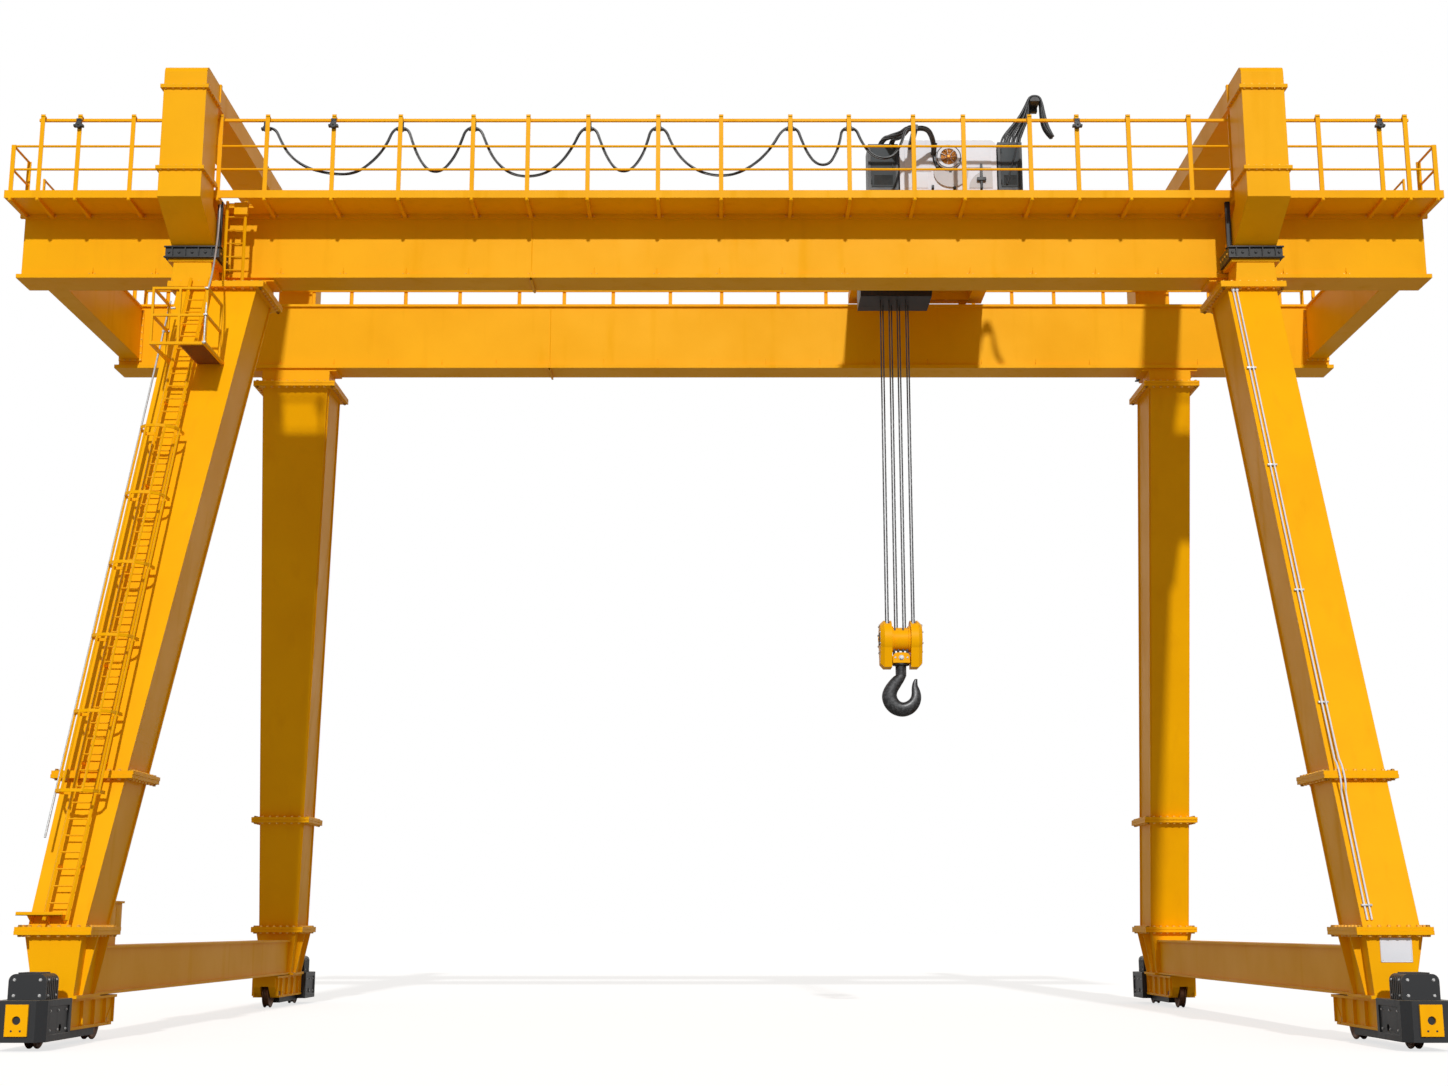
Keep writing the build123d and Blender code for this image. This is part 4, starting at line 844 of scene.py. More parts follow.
@dataclass
class Festoon(SubAssembly):
    """The cable that hangs in loops along the front railing, with its carriers."""

    y: float = -4.711
    cable_z: float = 19.03
    rail_under: float = 19.17
    diameter: float = 0.07
    strands: int = 3
    strand_radius: float = 0.0155
    spread: float = 0.018
    lay_length: float = 3.1
    route: tuple[tuple[float, float], ...] = (
        (-9.88, 19.03), (-9.73, 19.03), (-9.60, 18.72), (-9.38, 18.37), (-8.97, 18.08), (-8.45, 17.96),
        (-7.93, 17.98), (-7.56, 18.28), (-7.30, 18.65), (-7.15, 19.03),
        (-6.85, 19.03), (-6.755, 18.71), (-6.60, 18.34), (-6.38, 18.03), (-6.08, 18.02), (-5.84, 18.33),
        (-5.69, 18.71), (-5.58, 19.03),
        (-5.28, 19.03), (-5.16, 18.68), (-4.94, 18.25), (-4.55, 17.92), (-4.02, 17.91), (-3.56, 18.16),
        (-3.28, 18.58), (-3.08, 19.03),
        (-2.78, 19.03), (-2.68, 18.71), (-2.52, 18.33), (-2.30, 18.03), (-2.01, 18.04), (-1.79, 18.34),
        (-1.66, 18.70), (-1.57, 19.03),
        (-1.27, 19.03), (-1.14, 18.64), (-0.84, 18.22), (-0.38, 17.94), (0.17, 17.93), (0.66, 18.17),
        (1.03, 18.58), (1.29, 19.03),
        (1.59, 19.03), (1.67, 18.76), (1.80, 18.45), (2.00, 18.19), (2.27, 18.18), (2.43, 18.44),
        (2.51, 18.74), (2.56, 19.03),
        (2.86, 19.03), (2.95, 18.76), (3.10, 18.50), (3.33, 18.33), (3.62, 18.34), (3.79, 18.55),
        (3.88, 18.80), (3.95, 19.03), (4.09, 19.03))
    carriers: tuple[float, ...] = (-7.00, -5.43, -2.93, -1.42, 1.44, 2.71)
    parked_posts: tuple[int, ...] = (2, 6, 18, 23)
    parked_out: float = 0.078
    anchor_back: float = 0.045
    long_way: float = 1000.0

    def share(self, x: float) -> float:
        """How much of the trolley's travel a place along the cable follows."""
        first, last = self.route[0][0], self.route[-1][0]
        return min(1.0, max(0.0, (x - first) / (last - first)))

    def loops(self) -> None:
        """Hang one length of cable between each pair of carriers."""
        line = smooth_route("festoon_route", [(x, self.y, z) for x, z in self.route])
        cuts = [0]
        for x in self.carriers:
            target = Vector((x, self.y, self.cable_z))
            cuts.append(min(range(len(line)), key=lambda i: (line[i] - target).length))
        cuts.append(len(line) - 1)
        for number, (a, b) in enumerate(zip(cuts, cuts[1:]), 1):
            run = line[a:b + 1]
            mesh = Mesh()
            bundle(mesh, run, self.strands, self.spread, self.strand_radius, self.lay_length)
            piece = mesh.piece(f"festoon_loop_{number}", Body.GANTRY, self.palette.cable,
                               ["festoon_cable"] if number == 1 else (), rides=False)
            ends = (Vector((run[0].x, self.y, 0)), Vector((run[-1].x, self.y, 0)))
            shares = (self.share(run[0].x), self.share(run[-1].x))
            stretch_between(piece, ends, shares)
            length_of(run)

    def carrier_shape(self, mesh: Mesh, x: float, y: float) -> None:
        """Add a carrier: a trolley on the rail and a saddle clamp round the cables.

        Args:
            mesh: The mesh that it goes into.
            x: Its place along the rail.
            y: Its place across the girders.
        """
        z, top = self.cable_z, self.rail_under
        mesh.box((x - 0.055, y - 0.022, z + 0.03), (x + 0.055, y + 0.022, top - 0.003), 0.006)
        saddle = [(0, 0.062), (0.012, 0.072), (0.098, 0.072), (0.11, 0.062)]
        mesh.turned((x, y - 0.055, z - 0.015), (0, 1, 0), saddle, 20)
        for s in SIDES:
            jaw, roller = x + s * 0.075, x + s * 0.03
            mesh.box((jaw - 0.03, y - 0.05, z - 0.055), (jaw + 0.03, y + 0.05, z - 0.005), 0.008)
            mesh.turned((roller, y - 0.034, top - 0.03), (0, 1, 0), [(0, 0.022), (0.068, 0.022)], 14)
        mesh.bolt((x, y - 0.055, z - 0.015), (0, -1, 0), 0.022)

    def hangers(self) -> None:
        """Hang the carriers, each as one piece, and the parked clamps."""
        for number, x in enumerate(self.carriers, 1):
            mesh = Mesh()
            self.carrier_shape(mesh, x, self.y)
            piece = mesh.piece(f"festoon_carrier_{number}", Body.GANTRY, self.palette.black, rides=False)
            top = self.cable_z + self.long_way * eased(self.share(x))
            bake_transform(piece)
        mesh = Mesh()
        for index in self.parked_posts:
            self.carrier_shape(mesh, self.layout.posts()[index], self.layout.post_y - self.parked_out)
        self.carrier_shape(mesh, self.route[0][0] - self.anchor_back, self.y)
        mesh.piece("festoon_parked_clamps", Body.GANTRY, self.palette.black)

    def build(self) -> None:
        """Build the cable and all that it hangs from."""
        self.loops()
        self.hangers()


@dataclass
class MastBundle(SubAssembly):
    """The cables draped over the trolley's mast, fanned out where they leave the cabinet."""

    mast: Point = (6.97, -3.42, 20.30)
    cables: int = 8
    diameter: float = 0.05
    across: float = 0.08
    weave: float = 2.4
    route: tuple[Point, ...] = (
        (-0.57, -1.145, 0.20), (-0.56, -0.985, 0.20), (-0.47, -0.80, 0.18), (-0.33, -0.59, 0.14),
        (-0.225, -0.36, 0.075), (-0.155, -0.10, 0.014), (-0.09, 0.026, 0.010), (0.09, 0.026, 0.010),
        (0.155, -0.10, 0.014), (0.175, -0.36, 0.035), (0.215, -0.62, 0.05), (0.30, -0.82, 0.045),
        (0.38, -0.93, 0.02))

    def build(self) -> None:
        """Drape each cable from the cabinet over the saddle."""
        x, y, z = self.mast
        for k in range(self.cables):
            lean = 2 * k / (self.cables - 1) - 1
            side = y + self.across * math.cos(self.weave * k)
            points = [(x + a + lean * fan, side, z + b) for a, b, fan in self.route]
            line = smooth_route(f"mast_route_{k + 1}", points, 8)
            mesh = Mesh()
            mesh.tube(line, self.diameter / 2, 10)
            piece = mesh.piece(f"mast_cable_{k + 1}", Body.TROLLEY, self.palette.cable,
                               ["mast_cable"] if k == 0 else ())
            length_of(line)


@dataclass
class HoistRopes(SubAssembly):
    """Eight falls of wire rope from the upper block to the hook block."""

    sheaves: tuple[float, ...] = (-0.30, -0.095, 0.095, 0.30)
    skew: float = 0.046
    fall_y: float = 0.20
    low: float = 8.715
    high: float = 16.62
    radius: float = 0.019
    lay_length: float = 0.42
    step: float = 0.05
    lengths: int = 4
    strands: int = 6
    sides: int = 18
    groove: float = 0.10

    def fall(self, mesh: Mesh, x: float, y: float, high: float, low: float) -> None:
        """Add a length of six-strand rope.

        Args:
            mesh: The mesh that it goes into.
            x: Its place along the girders.
            y: Its place across them.
            high: Its upper end.
            low: Its lower end.
        """
        count = max(2, round((high - low) / self.step))
        rings = []
        for i in range(count + 1):
            z = high + (low - high) * i / count
            turn = 2 * math.pi * z / self.lay_length
            ring = []
            for k in range(self.sides):
                a = 2 * math.pi * k / self.sides
                r = self.radius * (1 - self.groove + self.groove * math.cos(self.strands * a))
                ring.append(Vector((x + r * math.cos(a + turn), y + r * math.sin(a + turn), z)))
            rings.append(ring)
        mesh.rings(rings)

    def build(self) -> None:
        """Hang the falls in lengths."""
        for number in range(self.lengths):
            s0, s1 = number / self.lengths, (number + 1) / self.lengths
            high, low = (self.high + (self.low - self.high) * s for s in (s0, s1))
            mesh = Mesh()
            for sheave in self.sheaves:
                for s in SIDES:
                    self.fall(mesh, self.layout.rope_x + sheave + s * self.skew, s * self.fall_y, high, low)
            piece = mesh.piece(f"hoist_rope_falls_{number + 1}", Body.TROLLEY, self.palette.rope,
                               ["hoist_ropes"] if number == 0 else (), rides=False)
            ends = (Vector((self.layout.rope_x, 0, high)), Vector((self.layout.rope_x, 0, low)))
            stretch_between(piece, ends, (s0, s1))


@dataclass
class Hook(SubAssembly):
    """The forged hook, smoothed from its sections, with its shank and collar."""

    bottom: float = 6.745
    collar: tuple[float, float] = (7.9195, 7.9595)
    shank_top: float = 8.198
    shank_radius: float = 0.125
    collar_radius: float = 0.19
    sides: int = 28
    steps: int = 6
    squareness: float = 2.5
    draw_in: float = 0.10
    tip: tuple[tuple[float, float], ...] = ((0.86, 0.008), (0.55, 0.015), (0.1, 0.018))
    sections: tuple[tuple[float, float, float, float, float], ...] = (
        (0, 0.95, 180, 0.25, 0.25), (-0.055, 0.87, 158, 0.262, 0.25), (-0.15, 0.745, 150, 0.29, 0.24),
        (-0.238, 0.61, 165, 0.318, 0.235), (-0.274, 0.47, 183, 0.345, 0.235),
        (-0.232, 0.325, 208, 0.352, 0.24), (-0.128, 0.212, 236, 0.344, 0.24),
        (0.02, 0.166, 268, 0.332, 0.235), (0.165, 0.204, 300, 0.316, 0.225),
        (0.275, 0.305, 331, 0.286, 0.205), (0.33, 0.43, 358, 0.25, 0.18), (0.333, 0.555, 379, 0.212, 0.15),
        (0.31, 0.675, 388, 0.165, 0.12), (0.318, 0.78, 374, 0.120, 0.095), (0.338, 0.850, 366, 0.078, 0.07))

    @staticmethod
    def between(t: float, a: float, b: float, c: float, d: float) -> float:
        """Find a value on the smooth curve through four values.

        Args:
            t: How far it is from the second value to the third.
            a: The first value.
            b: The second value.
            c: The third value.
            d: The fourth value.

        Returns:
            The value.
        """
        squared = (2 * a - 5 * b + 4 * c - d) * t * t
        cubed = (3 * b - a - 3 * c + d) * t ** 3
        return 0.5 * (2 * b + (c - a) * t + squared + cubed)

    def smooth_sections(self) -> list[list[float]]:
        """Pass a smooth curve through the sections' values.

        Returns:
            The sections, with several for each given one.
        """
        given = [list(s) for s in self.sections]
        padded = [given[0], *given, given[-1]]
        made = []
        for i in range(1, len(padded) - 2):
            for k in range(self.steps):
                made.append([self.between(k / self.steps, *four) for four in zip(*padded[i - 1:i + 3])])
        made.append(given[-1])
        return made

    def ring(self, section: Sequence[float], shrink: float = 1.0, on: float = 0.0) -> list[Vector]:
        """Lay out one section.

        Args:
            section: Its middle, the way that it looks, its breadth and its thickness.
            shrink: How much smaller it is drawn.
            on: How far it is moved on along the hook.

        Returns:
            The section's points.
        """
        x, z, turn, breadth, thickness = section
        out = Vector((math.cos(math.radians(turn)), 0, math.sin(math.radians(turn))))
        ahead = Vector((out.z, 0, -out.x))
        middle = Vector((self.layout.rope_x + x, 0, self.bottom + z)) - ahead * on
        power = 2 / self.squareness
        points = []
        for k in range(self.sides):
            a = 2 * math.pi * k / self.sides
            c, s = math.cos(a), math.sin(a)
            u = math.copysign(abs(c) ** power, c) * breadth / 2
            v = math.copysign(abs(s) ** power, s) * thickness / 2 * (1 - self.draw_in * c)
            points.append(middle + (out * u + Vector((0, 1, 0)) * v) * shrink)
        return points

    def build(self) -> None:
        """Build the hook as one smooth skin with its shank and collar."""
        mesh = Mesh()
        sections = self.smooth_sections()
        rings = [self.ring(s) for s in sections]
        rings += [self.ring(sections[-1], shrink, on) for shrink, on in self.tip]
        mesh.rings(rings)
        x, z = self.layout.rope_x, self.bottom + self.sections[0][1]
        r, c = self.shank_radius, self.collar_radius
        mesh.turned((x, 0, 0), (0, 0, 1), [(z - 0.02, r * 0.98), (z + 0.05, r), (self.shank_top, r)], 40)
        low, high = self.collar
        collar = [(low, r), (low, c - 0.008), (low + 0.006, c), (high - 0.006, c), (high, c - 0.008),
                  (high, r)]
        mesh.turned((x, 0, 0), (0, 0, 1), collar, 48)
        mesh.piece("forged_hook", Body.HOOK, self.palette.hook, ["hook"])


@dataclass
class TravelWheels(SubAssembly):
    """The eight travel wheels, turned with rounded flanges, each on its axle."""

    outer_y: float = 9.925
    inner_y: float = 7.075
    axle_z: float = 0.35
    flange: float = 0.348
    tread: float = 0.31
    width: float = 0.17
    axle: float = 0.065
    axle_half: float = 0.30
    hub_bolts: int = 6
    hub_circle: float = 0.088
    hub_bolt: float = 0.014

    def wheel(self, name: str, x: float, y: float) -> None:
        """Turn one wheel.

        Args:
            name: The node and body that it stands for.
            x: Its place along the girders.
            y: Its place across them.
        """
        w, f, t, axle, end = self.width / 2, self.flange, self.tread, self.axle, self.axle_half
        profile = [(-end, 0.0), (-end, axle - 0.006), (-end + 0.006, axle), (-w - 0.03, axle),
                   (-w - 0.03, 0.105), (-w - 0.005, 0.115), (-w + 0.012, 0.125), (-w + 0.022, 0.15),
                   (-w + 0.022, 0.24), (-w + 0.004, 0.265), (-w, f - 0.02), (-w + 0.008, f),
                   (-w + 0.026, f - 0.002), (-w + 0.035, t + 0.012), (-w + 0.043, t)]
        profile += [(-a, r) for a, r in reversed(profile)]
        mesh = Mesh()
        mesh.turned((x, y, self.axle_z), (1, 0, 0), profile, 56)
        for s in SIDES:
            for k in range(self.hub_bolts):
                a = 2 * math.pi * k / self.hub_bolts
                across, up = self.hub_circle * math.cos(a), self.hub_circle * math.sin(a)
                mesh.bolt((x + s * (w + 0.005), y + across, self.axle_z + up), (s, 0, 0), self.hub_bolt)
        mesh.piece(name + "_turned", name, self.palette.wheel, [name])

    def build(self) -> None:
        """Turn all eight."""
        for label, side in (("left", -1), ("right", 1)):
            for end, y in (("front_outer", -self.outer_y), ("front_inner", -self.inner_y),
                           ("rear_inner", self.inner_y), ("rear_outer", self.outer_y)):
                self.wheel(f"wheel_{label}_{end}", side * self.layout.foot_x, y)


@dataclass
class LegFlanges(SubAssembly):
    """The bolts round the legs' flanges."""

    lip: float = 0.175
    row: float = 0.55
    plate: float = 0.07
    saddle_plate: float = 0.06
    pitch: float = 0.185
    size: float = 0.044

    def ring(self, mesh: Mesh, side: int, z: float, above: float, mirror: int) -> None:
        """Add bolts round one pair of flanges, heads above and nuts below.

        Args:
            mesh: The mesh that they go into.
            side: -1 for a left leg, 1 for a right one.
            z: The height at which the flanges meet.
            above: The upper flange's thickness.
            mirror: 1 for a front leg, -1 for a rear one.
        """
        x, y, w, d = self.layout.leg(side, z)
        reach = self.lip * self.row
        hw, hd = w / 2 + reach, d / 2 + reach
        places = []
        for span, line in ((hw, "x"), (hd, "y")):
            count = max(2, round(2 * span / self.pitch))
            for i in range(count + 1):
                t = -span + 2 * span * i / count
                for s in SIDES:
                    places.append((x + t, y + s * hd) if line == "x" else (x + s * hw, y + t))
        for px, py in places:
            mesh.bolt((px, mirror * py, z + above), (0, 0, 1), self.size)
            mesh.bolt((px, mirror * py, z - self.plate), (0, 0, -1), self.size)

    def build(self) -> None:
        """Bolt up the splices, the feet and the heads of all four legs."""
        lay = self.layout
        flanges = ((lay.leg_splice_z, self.plate), (lay.leg_foot_z, self.plate),
                   (lay.leg_head_z, self.saddle_plate))
        for label, side in (("left", -1), ("right", 1)):
            mesh = Mesh()
            for mirror in (1, -1):
                for z, above in flanges:
                    self.ring(mesh, side, z, above, mirror)
            mesh.piece(f"leg_bolts_{label}", Body.GANTRY, self.palette.brass)


@dataclass
class Railings(SubAssembly):
    """Angle posts and round rails along both walkways and across the girders' ends."""

    flat: float = 0.095
    web: float = 0.045
    sheet: float = 0.012
    rail: float = 0.026
    post_out: float = 0.024
    post_cap: float = 0.02
    heights: tuple[float, float] = (18.04, 18.57)
    tall: float = 19.29
    cable_rail_y: float = -4.711
    cable_rail_z: tuple[float, float] = (19.17, 19.23)
    return_y: float = 3.86
    end_x: float = 15.342
    end_y: float = 2.917
    end_deck: float = 17.51
    end_bays: int = 4

    def post(self, mesh: Mesh, x: float, front: float, top: float, face: int) -> None:
        """Stand an angle post on a walkway.

        Args:
            mesh: The mesh that it goes into.
            x: Its place along the girder.
            front: Where its flat side is.
            top: Its upper end.
            face: -1 if the flat side looks to the front, 1 if to the rear.
        """
        h, t = self.flat / 2, self.sheet
        near, far = front - face * t, front - face * self.web
        outline = ((x - h, front), (x + h, front), (x + h, near), (x - h + t, near), (x - h + t, far),
                   (x - h, far))
        foot = self.layout.walk_z
        mesh.prism([(a, b, foot) for a, b in outline], (0, 0, top - foot))

    def side(self, name: str, face: int, node: str) -> None:
        """Build the railing of one walkway.

        Args:
            name: The piece's name.
            face: -1 for the front walkway, 1 for the rear one.
            node: The node that it stands for.
        """
        mesh = Mesh()
        posts = self.layout.posts()
        front = face * (abs(self.layout.post_y) + self.post_out)
        line = front - face * (self.sheet + self.rail)
        short = self.heights[1] + self.post_cap
        for x in posts:
            tall = face < 0 and x not in (posts[0], posts[-1])
            self.post(mesh, x, front, self.tall if tall else short, face)
            if tall:
                self.arm(mesh, x, front)
        for z in self.heights:
            mesh.tube([(posts[0] - 0.02, line, z), (posts[-1] + 0.02, line, z)], self.rail, 12)
            for x in (posts[0], posts[-1]):
                mesh.tube([(x, line, z), (x, face * self.return_y, z)], self.rail, 12)
        for x in (posts[0], posts[-1]):
            self.post(mesh, x, face * (self.return_y + 0.03), short, face)
        mesh.piece(name, Body.GANTRY, self.palette.yellow, [node])

    def arm(self, mesh: Mesh, x: float, front: float) -> None:
        """Lay a post's arm over the cable rail, with its cap.

        Args:
            mesh: The mesh that it goes into.
            x: The post's place.
            front: The post's flat side.
        """
        top = self.cable_rail_z[1]
        mesh.box((x - 0.045, front, top), (x + 0.045, self.cable_rail_y + 0.03, top + 0.02), 0.004)
        mesh.prism([(x - 0.006, front + 0.01, top - 0.05), (x - 0.006, front + 0.01, self.tall),
                    (x - 0.006, self.cable_rail_y, top + 0.02)], (0.012, 0, 0))
        cap = [(0, 0.034), (0.03, 0.034), (0.05, 0.022), (0.056, 0.0)]
        mesh.turned((x, self.cable_rail_y, top + 0.018), (0, 0, 1), cap, 14)

    def clips(self) -> None:
        """Clip the cable rail to the arms."""
        mesh = Mesh()
        y, (low, high) = self.cable_rail_y - 0.03, self.cable_rail_z
        for x in self.layout.posts()[1:-1]:
            mesh.box((x - 0.032, y - 0.008, low - 0.001), (x + 0.032, y, high + 0.012), 0.002)
            mesh.bolt((x, y - 0.008, (low + high) / 2), (0, -1, 0), 0.018)
        mesh.piece("cable_rail_clips", Body.GANTRY, self.palette.zinc)

    def ends(self) -> None:
        """Build the railings across both ends."""
        mesh = Mesh()
        low, high = self.end_deck, self.heights[1] + self.post_cap
        for s in SIDES:
            x = s * self.end_x
            for z in self.heights:
                mesh.tube([(x, -self.end_y, z), (x, self.end_y, z)], self.rail * 0.9, 12)
            for i in range(self.end_bays + 1):
                y = -self.end_y + 2 * self.end_y * i / self.end_bays
                y = max(-self.end_y + 0.03, min(self.end_y - 0.03, y))
                mesh.box((x - 0.022, y - 0.028, low), (x + 0.022, y + 0.028, high), 0.004)
                foot = x - 0.05 * s
                mesh.box((foot - 0.04, y - 0.05, low), (foot + 0.04, y + 0.05, low + 0.012))
        mesh.piece("end_railing_bars", Body.GANTRY, self.palette.yellow, ["end_railings"])

    def build(self) -> None:
        """Build every railing."""
        self.side("front_railing_angles", -1, "railing_front")
        self.side("rear_railing_angles", 1, "railing_rear")
        self.clips()
        self.ends()


@dataclass
class WalkwayTrim(SubAssembly):
    """Knobs at the tips of the walkways' brackets and the bolts at their roots."""

    tip_z: float = 17.345
    root_y: float = 3.855
    root_z: float = 17.338
    root_bolt: float = 0.024
    root_aside: float = 0.075
    knob_in: float = 0.022
    knob: tuple[tuple[float, float], ...] = ((0, 0.034), (0.022, 0.034), (0.034, 0.024), (0.04, 0.0))

    def build(self) -> None:
        """Add a knob and two bolts to each bracket."""
        knobs, bolts = Mesh(), Mesh()
        for x in self.layout.posts():
            for s in SIDES:
                edge = s * self.layout.walk_edge
                knobs.turned((x, edge - s * self.knob_in, self.tip_z), (0, s, 0), self.knob, 14)
                for t in SIDES:
                    at = (x + t * self.root_aside, s * self.root_y, self.root_z)
                    bolts.bolt(at, (0, s, 0), self.root_bolt)
        knobs.piece("bracket_knobs", Body.GANTRY, self.palette.yellow)
        bolts.piece("bracket_bolts", Body.GANTRY, self.palette.brass)


@dataclass
class GirderTrim(SubAssembly):
    """Weld seams, splice plates, flange lugs, rail clips and the bolts of the end ties."""

    seam_x: tuple[float, float] = (-4.21, -4.42)
    splice_half: float = 0.022
    splice_lip: float = 0.055
    lug_pitch: float = 1.37
    lug_half: float = 0.008
    lug_out: float = 0.055
    lug_high: float = 0.16
    lug_bolt: float = 0.03
    end_clear: float = 0.5
    lower_flange: float = 0.09
    upper_flange: float = 0.06
    rail_y: float = 3.30
    rail_half: float = 0.06
    clips: int = 33
    clip_pitch: float = 0.9
    tie_x: float = 15.07
    tie_half: float = 0.23
    tie_z: tuple[float, float] = (16.17, 17.47)
    tie_face: float = 3.025
    tie_rows: int = 8
    tie_bolt: float = 0.024

    def lugs(self, seam: float) -> list[float]:
        """Space a girder's lugs out from its splice.

        Args:
            seam: The place of the splice.

        Returns:
            The places of the lugs.
        """
        reach = self.layout.half - self.end_clear
        count = int(2 * reach / self.lug_pitch)
        places = [seam + self.lug_pitch * i for i in range(-count, count + 1) if i]
        return [x for x in places if abs(x) < reach]

    def seams(self) -> None:
        """Lay weld beads down the webs and small lugs along the lower flanges."""
        mesh = Mesh()
        lay = self.layout
        low, high = lay.soffit + self.lower_flange, lay.girder_top - self.upper_flange
        for s, seam in zip(SIDES, self.seam_x):
            for web, out in ((lay.web_out, 1), (lay.web_in, -1)):
                y, tip = s * web, s * (web + out * self.lug_out)
                mesh.tube([(seam, y, low), (seam, y, high)], 0.012, 6)
                for z in (low, high):
                    mesh.tube([(-lay.half, y, z), (lay.half, y, z)], 0.010, 6)
                foot = low - 0.002
                for x in self.lugs(seam):
                    near = x - self.lug_half
                    outline = [(near, y, foot), (near, tip, foot), (near, y, foot + self.lug_high)]
                    mesh.prism(outline, (2 * self.lug_half, 0, 0))
        mesh.piece("girder_welds", Body.GANTRY, self.palette.yellow)

    def splices(self) -> None:
        """Bolt thin splice plates round the girders' flanges, and bolt each lug."""
        plates, bolts = Mesh(), Mesh()
        lay = self.layout
        lip, wide = self.splice_lip, self.splice_half
        inner = lay.web_in + lay.web_out - lay.flange_out
        foot = lay.soffit + self.lower_flange - 0.002
        for s, x in zip(SIDES, self.seam_x):
            low_y, high_y = sorted((s * (inner - 0.02), s * (lay.flange_out + 0.02)))
            plates.box((x - wide, low_y, lay.soffit - lip), (x + wide, high_y, lay.soffit), 0.004)
            for y in (s * (inner - 0.02), s * lay.flange_out):
                a, b = sorted((y, y + s * 0.02))
                plates.box((x - wide, a, lay.soffit - lip), (x + wide, b, lay.soffit + 0.15), 0.004)
            for i in range(6):
                y = s * (inner + 0.06 + 0.132 * i)
                for t in SIDES:
                    bolts.bolt((x + t * wide, y, lay.soffit - 0.03), (t, 0, 0), 0.022)
            for at in [x, *self.lugs(x)]:
                for t in SIDES:
                    bolts.bolt((at + t * 0.06, s * (lay.web_out + 0.034), foot), (0, 0, 1), self.lug_bolt)
        plates.piece("girder_splice_plates", Body.GANTRY, self.palette.yellow)
        bolts.piece("girder_splice_bolts", Body.GANTRY, self.palette.brass)

    def rail_clips(self) -> None:
        """Hold the trolley rails down with clips."""
        mesh = Mesh()
        top = self.layout.girder_top
        for i in range(self.clips):
            x = (i - self.clips // 2) * self.clip_pitch
            for s in SIDES:
                for t in SIDES:
                    y = s * self.rail_y + t * (self.rail_half + 0.045)
                    mesh.box((x - 0.05, y - 0.045, top), (x + 0.05, y + 0.045, top + 0.024), 0.004)
                    mesh.bolt((x, y, top + 0.024), (0, 0, 1), 0.022)
        mesh.piece("trolley_rail_clips", Body.GANTRY, self.palette.rail)

    def tie_bolts(self) -> None:
        """Bolt the end ties' flanges to the webs."""
        mesh = Mesh()
        low, high = self.tie_z[0] - 0.03, self.tie_z[1] - 0.05
        for side in SIDES:
            for s in SIDES:
                y = s * self.tie_face
                for i in range(self.tie_rows):
                    z = low + (high - low) * i / (self.tie_rows - 1)
                    for t in SIDES:
                        x = side * self.tie_x + t * (self.tie_half + 0.03)
                        mesh.bolt((x, y, z), (0, -s, 0), self.tie_bolt)
                for i in range(3):
                    mesh.bolt((side * self.tie_x + (i - 1) * 0.14, y, low), (0, -s, 0), self.tie_bolt)
        mesh.piece("end_tie_bolts", Body.GANTRY, self.palette.brass)

    def build(self) -> None:
        """Dress both girders."""
        self.seams()
        self.splices()
        self.rail_clips()
        self.tie_bolts()


